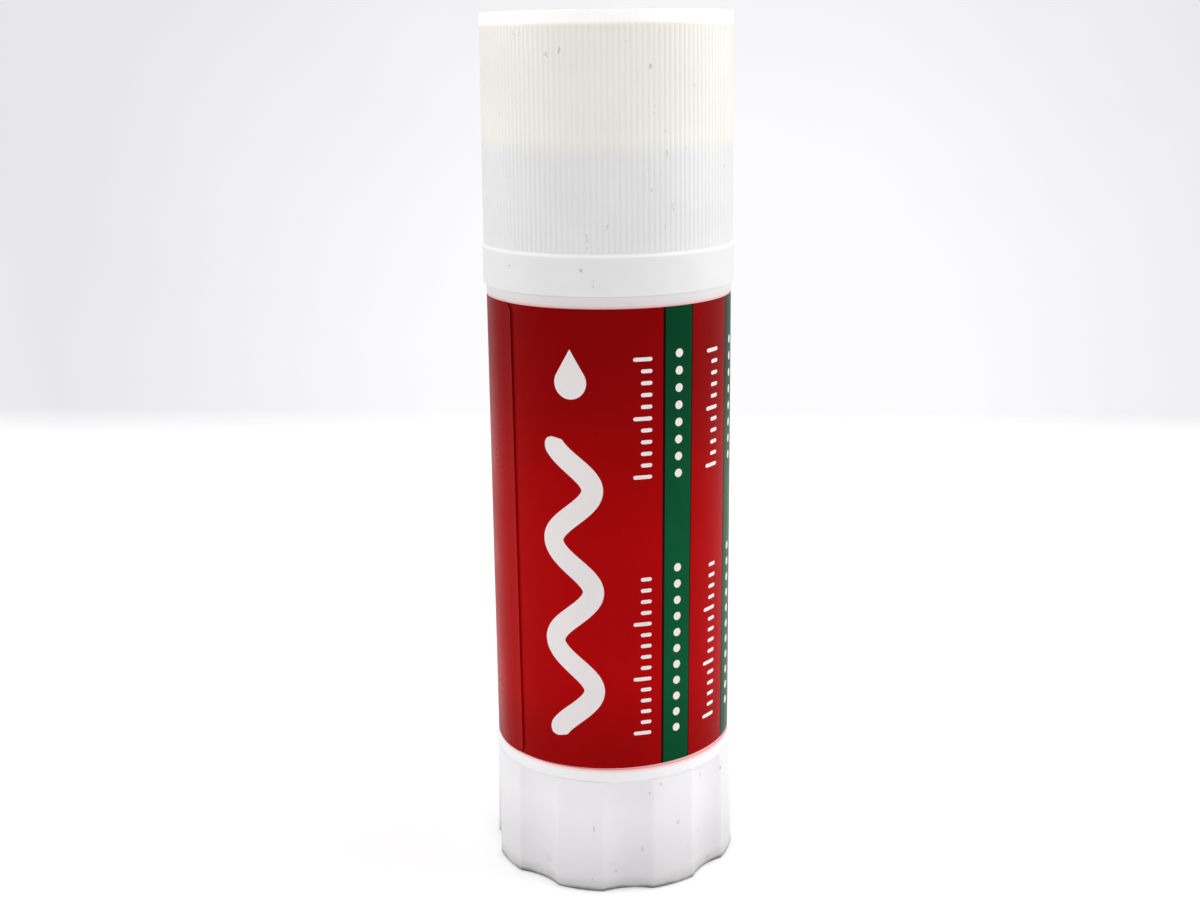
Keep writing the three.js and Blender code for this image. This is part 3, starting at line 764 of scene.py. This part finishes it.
def printed_film(name, tone, bands=(), mottle=0.1):
    """Printed and varnished film."""
    made, tree, shader = new_material(name)
    toned = banded(tree, tone, bands)
    gloss = (0.26, 0.38)
    bump = (0.05, 0.01 * MM)
    skinned(tree, shader, toned, mottle, patch=12 * MM, grain=0.5 * MM, gloss=gloss, bump=bump)
    shader["Specular IOR Level"].default_value = 0.025
    return made


def label_inks(label):
    """Red, green and line inks, darker towards both ends of the label as painted shade."""
    made = []
    for name in ("red", "green", "line"):
        tone = getattr(label, name)
        bands = (
            (label_low.z, between(label_low.z, label_high.z, 0.2), tone),
            (between(label_low.z, label_high.z, 0.42), label_high.z, shaded(tone, label.top_shade)),
        )
        made.append(printed_film("label_" + name, shaded(tone, label.foot_shade), bands))
    return made


def waxy_glue(tone):
    """Soft waxy glue: cloudy, slightly see-through, with a wiped and pitted skin."""
    made, tree, shader = new_material("waxy_glue")
    gloss = (0.3, 0.55)
    bump = (0.35, 0.15 * MM)
    skinned(tree, shader, opaque(tone), mottle=0.1, patch=5 * MM, grain=0.9 * MM, gloss=gloss, bump=bump)
    shader["Subsurface Weight"].default_value = 0.25
    shader["Subsurface Radius"].default_value = (2.2 * MM, 1.8 * MM, 1.2 * MM)
    return made


# Pieces

# Half the width over which the side of a rib in the bore rises.
RIB_SLOPE = 0.12 * MM


def from_rib(tube, turn, radius):
    """How far round the bore a point lies from the middle of the nearest rib."""
    pitch = 2 * math.pi / tube.ribs
    return abs(turn % pitch - pitch / 2) * radius


def rib_turns(tube, bore):
    """Even steps once round, with closer ones at the sides of each rib."""
    turns = set(even_turns(240))
    side = tube.rib_width / 2 / bore
    slope = RIB_SLOPE / bore
    for i in range(tube.ribs):
        middle = (i + 0.5) * 2 * math.pi / tube.ribs
        turns -= {turn for turn in turns if abs(turn - middle) < side + 2 * slope}
        turns.update(middle + s * (side + c * slope) for s in (-1, 1) for c in (-1, 0, 1))
        turns.add(middle)
    return sorted(turns)


def make_tube(settings):
    """Tube: spigot, plain rings, label seat, neck with its bead, bore with its ribs, and floor."""
    tube = settings.tube
    foot = knob_high.z + tube.foot_gap
    shoulder = cap_low.z - tube.mouth_gap
    seat = tube.radius - tube.label_recess
    seat_low = label_low.z - tube.edge_gap
    seat_high = label_high.z + tube.edge_gap
    bore = tube.radius - tube.wall
    neck = bore + tube.neck_wall
    neck_crest = neck + tube.neck_bead
    bead = shoulder + 4.3 * MM
    bead_half = 0.7 * MM
    crest_half = 0.2 * MM
    spigot = tube.radius - tube.spigot_step
    spigot_bore = spigot - tube.spigot_wall
    spigot_crest = spigot + tube.spigot_bead
    crest_low = tube_low.z + 0.8 * MM
    crest_high = tube_low.z + 1.3 * MM
    bead_end = tube_low.z + 1.8 * MM
    under = foot + 0.35 * MM
    floor_top = under + tube.floor
    fine = 0.15 * MM
    root = 0.2 * MM
    # The ring under the label spreads in a hollow curve towards the knob.
    cove = [
        (tube.radius + tube.ring_flare * down ** 2, between(seat_low, foot, down), 0)
        for down in spaced(1, 0, 8)[1:]
    ]
    outside = rounded([
        (tube.floor_hole, under, 0),
        (spigot_bore, under, 0.4 * MM),
        (spigot_bore, tube_low.z, fine),
        (spigot, tube_low.z, fine),
        (spigot_crest, crest_low, fine),
        (spigot_crest, crest_high, fine),
        (spigot, bead_end, fine),
        (spigot, foot, root),
        (tube.radius + tube.ring_flare, foot, 0.05 * MM),
        *cove,
        (seat, seat_low, 0),
        (seat, seat_high, 0),
        (tube.radius, seat_high, 0.05 * MM),
        (tube.radius, shoulder, 0.08 * MM),
        (neck, shoulder, root),
        (neck, bead - bead_half, fine),
        (neck_crest, bead - crest_half, fine),
        (neck_crest, bead + crest_half, fine),
        (neck, bead + bead_half, fine),
        (neck, tube_high.z, 0.35 * MM),
        (bore, tube_high.z, 0.18 * MM),
        (bore, tube_high.z - 1 * MM, 0),
    ])
    rib_top = tube_high.z - tube.rib_stop
    chamfer = 0.2 * MM
    inside = [(bore, rib_top, 0)]
    inside += marked([(bore, height) for height in spaced(rib_top - 0.4 * MM, floor_top, 24)], 1)
    inside += marked([(tube.floor_hole + chamfer, floor_top), (tube.floor_hole, floor_top - chamfer)])

    def ribbed(turn, radius, height, mark):
        """The bore's radius, less a rib where one stands."""
        reach = tube.rib_width / 2 + RIB_SLOPE - from_rib(tube, turn, bore)
        return radius - tube.rib_height * held(reach / (2 * RIB_SLOPE))

    draft = Draft()
    draft.turned(marked(outside) + inside, rib_turns(tube, bore), ribbed)
    made = draft.finish("tube_shell", [tube_plastic(settings)])
    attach(made, "barrel")
    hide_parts("tube")


def make_knob(settings):
    """Knob: recessed foot, hollows round the grip, cup, lip and the screw's six-sided socket."""
    knob = settings.knob
    top_radius = knob.foot_radius - knob.flare
    recess = knob.foot_radius - knob.rim
    floor_top = knob.recess + knob.floor
    flat = knob.socket / 2
    boss = flat / math.cos(math.pi / 6) + knob.socket_wall
    socket_floor = floor_top + 0.1 * MM
    pitch = 2 * math.pi / knob.scallops
    scallops, flats = 1, 2
    top_edge = 0.12 * MM

    def lobes(height):
        """The radius over the lobes, which lean in up the knob."""
        return between(knob.foot_radius, top_radius, height / knob_high.z)

    def shaped(turn, radius, height, mark):
        """The socket's flats, or the grip with its hollows cut in."""
        if mark == flats:
            return radius / math.cos(from_nearest(turn, math.pi / 3, math.pi / 6))
        lobe = lobes(height)
        off = from_nearest(turn, pitch, knob.scallop_angle)
        axis = lobe - knob.scallop_depth + knob.scallop_radius
        under_root = knob.scallop_radius ** 2 - (axis * math.sin(off)) ** 2
        if under_root <= 0:
            return radius
        hollow = axis * math.cos(off) - math.sqrt(under_root)
        return radius - lobe + soft_min(lobe, hollow, knob.scallop_softness)

    mouth_edge = 0.2 * MM
    outside = rounded([
        (0, knob.recess, 0),
        (recess - knob.recess, knob.recess, 0.4 * MM),
        (recess, 0, 0.15 * MM),
        (knob.foot_radius, 0, 0.25 * MM),
        (top_radius, knob_high.z, top_edge),
        (knob.bore + mouth_edge, knob_high.z, 0),
    ], steps=8)
    foot_zone = 1 * MM
    base = [point for point in outside if point[0] <= recess + foot_zone]
    wall = outside[len(base):]
    low_wall = [point for point in wall if point[1] < foot_zone]
    levels = 8
    heights = [between(foot_zone, knob_high.z - top_edge, (i + 0.5) / levels) for i in range(levels)]
    grip = low_wall + [(lobes(height), height) for height in heights] + wall[len(low_wall):]
    lip_edge = 0.1 * MM
    fillet = 0.5 * MM
    inside = rounded([
        (knob.bore, knob_high.z, 0),
        (knob.bore, knob.lip_foot + 1.1 * MM, 0.2 * MM),
        (knob.lip, knob.lip_foot + 0.4 * MM, lip_edge),
        (knob.lip, knob.lip_foot, lip_edge),
        (knob.bore, knob.lip_foot, lip_edge),
        (knob.bore, floor_top, fillet),
        (boss, floor_top, fillet),
        (boss, knob.socket_top, 0.3 * MM),
        (flat + 0.8 * MM, knob.socket_top, 0),
    ])
    socket = marked([(flat, knob.socket_top - 0.2 * MM), (flat, socket_floor)], flats)
    rows = marked(base) + marked(grip, scallops) + marked(inside) + socket + [(0, socket_floor, 0)]
    draft = Draft()
    draft.turned(rows, even_turns(480), shaped)
    made = draft.finish("knob_grip", [knob_plastic(settings)], smooth_under=28)
    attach(made, "drive")
    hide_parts("knob")


def make_cap(settings):
    """Cap: plain band, fine flutes, smooth rim, and its inside with a lead-in round the mouth."""
    cap = settings.cap
    crest = cap.radius - cap.ledge
    rim_radius = crest - cap.draft
    flute_foot = cap_low.z + cap.band
    flute_top = cap_high.z - cap.rim
    inside = cap.radius - cap.wall
    top_inside = cap_high.z - cap.top_wall
    pitch = 2 * math.pi / cap.flutes
    half = cap.flute_width / 2
    ledge_height = 0.2 * MM
    run_out = 0.5 * MM
    lead_in = 0.4 * MM
    inner_draft = 0.3 * MM

    def fade(share):
        """A smooth fall from one to nothing."""
        return 0.5 + 0.5 * math.cos(math.pi * share)

    def fluted(turn, radius, height, mark):
        """The flutes' radius, less the groove by its mark's share of the full depth."""
        off = abs(from_nearest(turn, pitch)) * radius
        return radius - mark * cap.flute_depth * fade(off / half) if off < half else radius

    lower = rounded([
        (inside + lead_in, cap_low.z, 0),
        (cap.radius, cap_low.z, 0.08 * MM),
        (cap.radius, flute_foot - ledge_height, 0.06 * MM),
        (crest, flute_foot, 0.04 * MM),
        (crest, flute_foot + 0.1 * MM, 0),
    ])
    flutes = []
    for share in spaced(0, 1, 14):
        height = between(flute_foot + 0.15 * MM, flute_top - run_out, share)
        flutes.append((between(crest, rim_radius, share), height, 1))
    flutes += [(rim_radius, flute_top - run_out * (1 - up), fade(up)) for up in (0.25, 0.5, 0.75)]
    upper = [(rim_radius, flute_top, 0), (rim_radius, cap_high.z, 0.35 * MM), (0, cap_high.z, 0)]
    hollow = rounded([
        (0, top_inside, 0),
        (inside - inner_draft, top_inside, 0.5 * MM),
        (inside, tube_high.z, 0),
        (inside, cap_low.z + lead_in, 0),
    ])
    # Where the columns of corners lie across one flute, closer over its groove.
    across = (0.11, 0.22, 0.34, 0.66, 0.78, 0.89, 1.0)
    turns = [pitch * (i + share) for i in range(cap.flutes) for share in across]
    draft = Draft()
    rows = marked(lower) + flutes + marked(rounded(upper, steps=8)) + marked(hollow)
    draft.turned(rows, turns, fluted)
    made = draft.finish("cap_shell", [cap_plastic(settings)], smooth_under=40)
    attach(made, "lid")
    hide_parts("cap")


def drawn_label(label):
    """How the wrap turns and draws in towards its foot, as a function of angle and height."""

    def drawn(turn, height):
        down = (label_high.z - height) / (label_high.z - label_low.z)
        return turn - down * (label.lean + label.draw_in * math.sin(turn))

    return drawn


def sheet_radius(settings):
    """How far from the axis the inside of the label lies at each angle along it. Its end climbs
    one step on to its start, and curls off it a little at the very edge."""
    label = settings.label
    inside = settings.tube.radius - settings.tube.label_recess + settings.tube.label_gap
    end = label.lap_angle + 2 * math.pi
    flat_from = end - label.overlap
    step = label.thickness + 0.012 * MM
    curl = math.radians(5)
    lift = 0.1 * MM

    def radius(turn):
        climbed = held((turn - flat_from + label.climb) / label.climb)
        eased = climbed * climbed * (3 - 2 * climbed)
        curled = max(0, 1 - (end - turn) / curl)
        return inside + eased * step + lift * curled ** 2

    return radius


def make_label(settings):
    """Label: one wrap of printed film whose rounded end laps over its start."""
    label = settings.label
    radius = sheet_radius(settings)
    start = label.lap_angle - label.overlap
    end = label.lap_angle + 2 * math.pi
    corner = label.corner / (radius(0) + label.thickness)
    turns = set(spaced(start, end - corner, 168))
    turns.update(end - corner * (1 - math.sin(bend)) for bend in spaced(0, math.pi / 2, 10))
    red, green, line = 0, 1, 2
    thin_line = 0.45 * label.stripe_line
    bands = []
    for i in range(label.stripes):
        left = label.stripe_from + i * label.stripe_pitch
        right = left + label.stripe_width
        bands.append((left - label.stripe_line, left, line))
        bands.append((left, right, green))
        bands.append((right, right + thin_line, line))
    for low, high, _ in bands:
        turns.update((low, high))
    turns = sorted(turns)

    def column(turn):
        """One column of corners, cut back at the rounded end and askew along the foot."""
        into = max(0, turn - (end - corner)) / corner
        back = label.corner * (1 - math.sqrt(max(0, 1 - into * into)))
        slant = label.askew * (0.5 + 0.5 * math.sin(turn))
        return [(turn, height) for height in spaced(label_low.z + slant + back, label_high.z - back, 10)]

    def ink(index):
        """Which ink lies to the right of a column."""
        middle = (turns[index] + turns[index + 1]) / 2
        return next((tone for low, high, tone in bands if low < middle < high), red)

    draft = Draft()
    draft.sheet([column(turn) for turn in turns], radius, label.thickness, drawn_label(label), ink)
    made = draft.finish("label_film", label_inks(label), smooth_under=50)
    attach(made, "barrel")
    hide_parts("label")


class Pen:
    """Draws thin flat marks on the label."""

    def __init__(self, settings):
        self.label = settings.label
        self.ink = 0.012 * MM
        self.film = sheet_radius(settings)
        self.drawn = drawn_label(settings.label)
        self.scale = self.surface(0)
        self.draft = Draft()

    def surface(self, turn):
        """How far from the axis the print lies, a hair over the film."""
        return self.film(turn) + self.label.thickness + 0.002 * MM

    def lay(self, columns):
        """Lays one mark on the film."""
        self.draft.sheet(columns, self.surface, self.ink, self.drawn)

    def stroke(self, path, width):
        """A stroke with round ends along a path of (turn, height) points."""
        # The ends keep this share of the width, so that no face shrinks to nothing.
        bluntest = 0.02
        travelled = [0]
        for (a, low), (b, high) in zip(path, path[1:]):
            travelled.append(travelled[-1] + math.hypot((b - a) * self.scale, high - low))
        columns = []
        for i, (turn, height) in enumerate(path):
            before, after = path[max(0, i - 1)], path[min(len(path) - 1, i + 1)]
            along = Vector(((after[0] - before[0]) * self.scale, after[1] - before[1])).normalized()
            into = min(1, min(travelled[i], travelled[-1] - travelled[i]) / (width / 2))
            half = width / 2 * math.sqrt(max(bluntest ** 2, 1 - (1 - into) ** 2))
            columns.append([
                (turn - along.y * half * share / self.scale, height + along.x * half * share)
                for share in spaced(-1, 1, 6)
            ])
        self.lay(columns)

    def line(self, start, end, width):
        """A straight stroke between two (turn, height) points, with its corners closer at both ends."""
        shares = [0.5 - 0.5 * math.cos(bend) for bend in spaced(0, math.pi, 14)]
        self.stroke([(between(start[0], end[0], s), between(start[1], end[1], s)) for s in shares], width)

    def drop(self, turn, height, size, tip):
        """A drop whose round part is centred there, with its tip that far above the middle."""
        columns = []
        waist = size * math.sqrt(1 - (size / tip) ** 2)
        for share in spaced(-1, 1, 32):
            off = size * math.sin(math.radians(89) * share)
            edge = math.sqrt(size ** 2 - off ** 2)
            over = between(tip, size ** 2 / tip, abs(off) / waist) if abs(off) < waist else edge
            columns.append([(turn + off / self.scale, height + rise) for rise in spaced(-edge, over, 6)])
        self.lay(columns)


def make_print(settings):
    """Plain marks on the label: a bead of glue drawn up the front, a drop, ticks and dots."""
    label = settings.label
    marks = settings.print
    pen = Pen(settings)
    bead_low = label_low.z + 4.3 * MM
    bead_high = label_high.z - 16.2 * MM
    drop_height = label_high.z - 9.2 * MM
    swings = 6
    path = []
    for share in spaced(0, 1, 300):
        sway = -marks.bead_swing * math.cos(math.pi * swings * share) / pen.scale
        path.append((marks.bead_angle + sway, between(bead_low, bead_high, share)))
    pen.stroke(path, marks.bead_width)
    pen.drop(marks.bead_angle, drop_height, marks.drop, 2 * marks.drop)

    # Where the two runs of marks start and end over the label's foot.
    runs = ((5 * MM, 27.5 * MM), (39.5 * MM, 55 * MM))

    def heights(pitch):
        """Numbered heights a pitch apart along both runs."""
        for low, high in runs:
            for i in range(int((high - low) / pitch) + 1):
                yield i, label_low.z + low + i * pitch

    # The ticks stand to the left of the stripes, and every fifth is long. The dots lie on them.
    second = label.stripe_from + label.stripe_pitch
    for turn in (label.stripe_from - math.radians(6.5), second - math.radians(10)):
        for i, height in heights(marks.tick_pitch):
            reach = marks.tick if i % 5 == 0 else 0.6 * marks.tick
            pen.line((turn, height), (turn - reach / pen.scale, height), marks.tick_width)
    for turn in (label.stripe_from + label.stripe_width / 2, second + label.stripe_width / 2):
        for i, height in heights(marks.dot_pitch):
            pen.line((turn, height - marks.dot / 2), (turn, height + marks.dot / 2), marks.dot)
    finish = printed_film("print_white", marks.tone, mottle=0.04)
    made = pen.draft.finish("label_print", [finish], smooth_under=50)
    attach(made, "barrel")


def make_glue(settings):
    """Glue: a waxy stick, a little uneven, worn at its top and bored through by the screw."""
    glue = settings.glue
    tube = settings.tube
    cup_rim = glue_low.z + glue.cup_depth
    in_cup = glue.radius - glue.cup_wall
    nut_top = carrier_high.z + tube.gap
    bore_wall = tube.radius - tube.wall
    notched = bore_wall - tube.rib_height - tube.gap
    notch_half = tube.rib_width / 2 + tube.gap
    notch_slope = 0.25 * MM
    # How often each swell runs round, how fast it twists with height, and how strong it is.
    swells = ((3, 0.9 / MM, 1.0), (7, -1.7 / MM, 0.6))

    def uneven(turn, radius, height, mark):
        """The glue's swelling side, notched where a rib of the tube runs."""
        swell = sum(strength * math.sin(times * turn + twist * height) for times, twist, strength in swells)
        swollen = radius - glue.unevenness * (1 + 0.5 * swell)
        notch = held((notch_half + notch_slope - from_rib(tube, turn, radius)) / notch_slope)
        return between(swollen, min(swollen, notched), notch)

    lower = rounded([
        (glue.nut, glue_low.z, 0),
        (in_cup, glue_low.z, 0.2 * MM),
        (in_cup, cup_rim, 0.1 * MM),
        (glue.radius, cup_rim, 0),
    ])
    side = [(glue.radius, h) for h in spaced(cup_rim + 0.3 * MM, glue_high.z - glue.edge - 0.1 * MM, 20)]
    upper = rounded([
        (glue.radius, glue_high.z - 2 * glue.edge, 0),
        (glue.radius, glue_high.z, glue.edge),
        (glue.bore, glue_high.z, 0.4 * MM),
        (glue.bore, nut_top, 0.1 * MM),
        (glue.nut, nut_top, 0.1 * MM),
        (glue.nut, glue_low.z + 0.2 * MM, 0),
    ], steps=6)[1:]
    edge = [point for point in upper if point[0] > glue.radius - glue.edge]
    rows = marked(lower[:-1]) + marked(lower[-1:] + side + edge, 1) + marked(upper[len(edge):])
    draft = Draft()
    draft.turned(rows, rib_turns(tube, bore_wall), uneven)
    made = draft.finish("glue_stick_body", [waxy_glue(glue.tone)], smooth_under=50)
    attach(made, "lift")
    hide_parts("glue")


def finish_mechanism(settings):
    """The screw and the carrier keep their frame shapes and get moulded plastic."""
    finish = warm_plastic(settings)
    for name in ("spindle", "carrier"):
        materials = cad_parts[name].data.materials
        materials.clear()
        materials.append(finish)


# Studio

# Name, place, width, height and power of each soft lamp, and the point that they face.
LAMPS = (
    ("left_softbox", (-0.55, 0.05, 0.32), 0.5, 0.7, 1.4),
    ("right_softbox", (0.55, 0.05, 0.32), 0.5, 0.7, 1.95),
    ("overhead_softbox", (0.0, 0.1, 0.7), 0.7, 0.5, 1.1),
    ("front_fill", (0.1, -0.75, 0.35), 0.5, 0.4, 1.0),
)
LAMP_AIM = Vector((0, 0, 55 * MM))


def make_camera(studio):
    """The camera where the photographer stood."""
    data = bpy.data.cameras.new("camera")
    data.lens = studio.lens
    camera = bpy.data.objects.new("camera", data)
    bpy.context.scene.collection.objects.link(camera)
    bpy.context.scene.camera = camera
    camera.matrix_world = (
        Matrix.Translation((0, -studio.camera_back, studio.camera_height))
        @ Matrix.Rotation(-studio.camera_turn, 4, "Z")
        @ Matrix.Rotation(math.pi / 2 - studio.camera_pitch, 4, "X")
        @ Matrix.Rotation(-studio.camera_roll, 4, "Z")
    )


def seen_directly(tree):
    """One where the camera, a reflection or a see-through piece looks, and nothing for light."""
    path = add_node(tree, "LightPath").outputs
    first = worked_out(tree, "MAXIMUM", path["Is Camera Ray"], path["Is Glossy Ray"])
    return worked_out(tree, "MAXIMUM", first, path["Is Transmission Ray"])


def make_backdrop(studio):
    """A pale wall where the camera looks, and an even room light for everything else."""
    world = bpy.data.worlds.new("studio")
    world.use_nodes = True
    bpy.context.scene.world = world
    tree = world.node_tree
    room = tree.nodes["Background"]
    room.inputs["Color"].default_value = opaque(WHITE)
    room.inputs["Strength"].default_value = studio.sky
    towards = add_node(tree, "TexCoord").outputs["Generated"]
    ray = parts(tree, towards)
    turn = worked_out(tree, "SUBTRACT", worked_out(tree, "ARCTAN2", ray["X"], ray["Y"]), studio.glow_turn)
    # The glow comes again every 45 degrees round the room, so that other views have one too.
    sideways = worked_out(tree, "PINGPONG", turn, math.radians(22.5))
    brightest = -math.sin(studio.glow_height)
    core = math.radians(9)
    edge = math.radians(23)
    upwards = ranged(tree, ray["Z"], brightest, 1.0, 0.0, 1.0 - brightest)
    off = add_node(tree, "CombineXYZ", {"X": sideways, "Z": upwards}).outputs[0]
    distance = add_node(tree, "VectorMath", {0: off}, operation="LENGTH").outputs["Value"]
    lighter = ranged(tree, distance, edge, core)
    # Blotches make it up to a tenth brighter or dimmer.
    patches = noise(tree, towards, scale=14, detail=4)["Fac"]
    uneven = worked_out(tree, "MULTIPLY_ADD", patches, 0.2, -0.1)
    share = worked_out(tree, "ADD", lighter, uneven, clamp=True)
    tone = mixed(tree, share, opaque(studio.backdrop_dim), opaque(studio.backdrop))
    wall = add_node(tree, "Background", {"Color": tone, "Strength": 1.0})
    shown = add_node(tree, "MixShader", {0: seen_directly(tree), 1: room.outputs[0], 2: wall.outputs[0]})
    feed(tree, tree.nodes["World Output"].inputs["Surface"], shown.outputs[0])


def make_floor(studio):
    """A pale floor that keeps the stick's shadow and fades into the backdrop at its edges."""
    reach = studio.floor_reach
    made, tree, shader = new_material("studio_floor")
    where = own_place(tree)
    patches = noise(tree, where, scale=9, detail=3)["Fac"]
    tone = mixed(tree, patches, opaque(studio.floor_dim), opaque(studio.floor_tone))
    feed(tree, shader["Base Color"], tone)
    shader["Roughness"].default_value = 0.8
    shader["Specular IOR Level"].default_value = 0.2
    strength = worked_out(tree, "MULTIPLY", seen_directly(tree), studio.floor_lift)
    lift = add_node(tree, "Emission", {"Color": opaque(WHITE), "Strength": strength}).outputs[0]
    plain = tree.nodes["Principled BSDF"].outputs[0]
    lifted = add_node(tree, "AddShader", {0: plain, 1: lift}).outputs[0]
    clear = add_node(tree, "BsdfTransparent").outputs[0]
    axes = parts(tree, where)
    sideways = worked_out(tree, "ABSOLUTE", axes["X"])
    outward = worked_out(tree, "MAXIMUM", sideways, worked_out(tree, "ABSOLUTE", axes["Y"]))
    far = ranged(tree, outward, reach - studio.floor_fade, reach)
    fade = add_node(tree, "MixShader", {0: far, 1: lifted, 2: clear}).outputs[0]
    feed(tree, tree.nodes["Material Output"].inputs["Surface"], fade)
    draft = Draft()
    draft.corners = [(-reach, -reach, 0), (reach, -reach, 0), (reach, reach, 0), (-reach, reach, 0)]
    draft.add_face((0, 1, 2, 3))
    floor = draft.finish("studio_floor", [made])
    floor.rotation_euler.z = studio.floor_turn


def add_lamp(name, where, width, height, power):
    """A soft lamp that faces the stick, unseen by the camera."""
    data = bpy.data.lights.new(name, "AREA")
    data.shape = "RECTANGLE"
    data.size = width
    data.size_y = height
    data.energy = power
    lamp = bpy.data.objects.new(name, data)
    bpy.context.scene.collection.objects.link(lamp)
    lamp.location = where
    lamp.rotation_euler = (LAMP_AIM - lamp.location).to_track_quat("-Z", "Y").to_euler()
    lamp.visible_camera = False


def make_studio(settings):
    """Camera, backdrop, floor and lamps, with colours shown as they are."""
    make_camera(settings.studio)
    make_backdrop(settings.studio)
    make_floor(settings.studio)
    for lamp in LAMPS:
        add_lamp(*lamp)
    bpy.context.scene.view_settings.view_transform = "Standard"


# Operators


class GLUESTICK_OT_studio(bpy.types.Operator):
    """Set up the camera, the floor, the backdrop and the lamps"""

    bl_idname = "gluestick.studio"
    bl_label = "Studio"

    def execute(self, context):
        make_studio(context.scene.glue_stick)
        return {"FINISHED"}


class GLUESTICK_OT_tube(bpy.types.Operator):
    """Model the tube with its rings, neck and spigot"""

    bl_idname = "gluestick.tube"
    bl_label = "Tube"

    def execute(self, context):
        make_tube(context.scene.glue_stick)
        return {"FINISHED"}


class GLUESTICK_OT_label(bpy.types.Operator):
    """Wrap the printed label round the tube"""

    bl_idname = "gluestick.label"
    bl_label = "Label"

    def execute(self, context):
        make_label(context.scene.glue_stick)
        make_print(context.scene.glue_stick)
        return {"FINISHED"}


class GLUESTICK_OT_knob(bpy.types.Operator):
    """Model the scalloped knob"""

    bl_idname = "gluestick.knob"
    bl_label = "Knob"

    def execute(self, context):
        make_knob(context.scene.glue_stick)
        return {"FINISHED"}


class GLUESTICK_OT_cap(bpy.types.Operator):
    """Model the fluted cap"""

    bl_idname = "gluestick.cap"
    bl_label = "Cap"

    def execute(self, context):
        make_cap(context.scene.glue_stick)
        return {"FINISHED"}


class GLUESTICK_OT_glue(bpy.types.Operator):
    """Model the glue"""

    bl_idname = "gluestick.glue"
    bl_label = "Glue"

    def execute(self, context):
        make_glue(context.scene.glue_stick)
        return {"FINISHED"}


class GLUESTICK_OT_mechanism(bpy.types.Operator):
    """Finish the screw and the carrier"""

    bl_idname = "gluestick.mechanism"
    bl_label = "Screw and Carrier"

    def execute(self, context):
        finish_mechanism(context.scene.glue_stick)
        return {"FINISHED"}


class GLUESTICK_PT_panel(bpy.types.Panel):
    """The glue stick's steps and sizes"""

    bl_idname = "GLUESTICK_PT_panel"
    bl_label = "Glue Stick"
    bl_space_type = "VIEW_3D"
    bl_region_type = "UI"
    bl_category = "Glue Stick"

    def draw(self, context):
        for step in STEPS:
            self.layout.operator(step.bl_idname)
        settings = context.scene.glue_stick
        for group in settings.bl_rna.properties:
            if group.type != "POINTER" or group.identifier == "rna_type":
                continue
            box = self.layout.box()
            box.label(text=group.name)
            sizes = getattr(settings, group.identifier)
            for size in sizes.bl_rna.properties:
                if size.identifier not in ("rna_type", "name"):
                    box.prop(sizes, size.identifier)


STEPS = (
    GLUESTICK_OT_studio,
    GLUESTICK_OT_tube,
    GLUESTICK_OT_label,
    GLUESTICK_OT_knob,
    GLUESTICK_OT_cap,
    GLUESTICK_OT_glue,
    GLUESTICK_OT_mechanism,
)
CLASSES = (
    TubeSizes,
    KnobSizes,
    CapSizes,
    LabelSizes,
    PrintSizes,
    GlueSizes,
    PlasticColours,
    StudioSizes,
    GlueStickSettings,
    *STEPS,
    GLUESTICK_PT_panel,
)


def register():
    """Makes the settings, the operators and the panel known to Blender."""
    for made in CLASSES:
        bpy.utils.register_class(made)
    bpy.types.Scene.glue_stick = PointerProperty(type=GlueStickSettings)


def unregister():
    """Takes them away again."""
    del bpy.types.Scene.glue_stick
    for made in reversed(CLASSES):
        bpy.utils.unregister_class(made)


def main():
    """Builds the whole scene."""
    register()
    bpy.ops.gluestick.studio()
    bpy.ops.gluestick.tube()
    bpy.ops.gluestick.label()
    bpy.ops.gluestick.knob()
    bpy.ops.gluestick.cap()
    bpy.ops.gluestick.glue()
    bpy.ops.gluestick.mechanism()


if __name__ == "__main__":
    main()
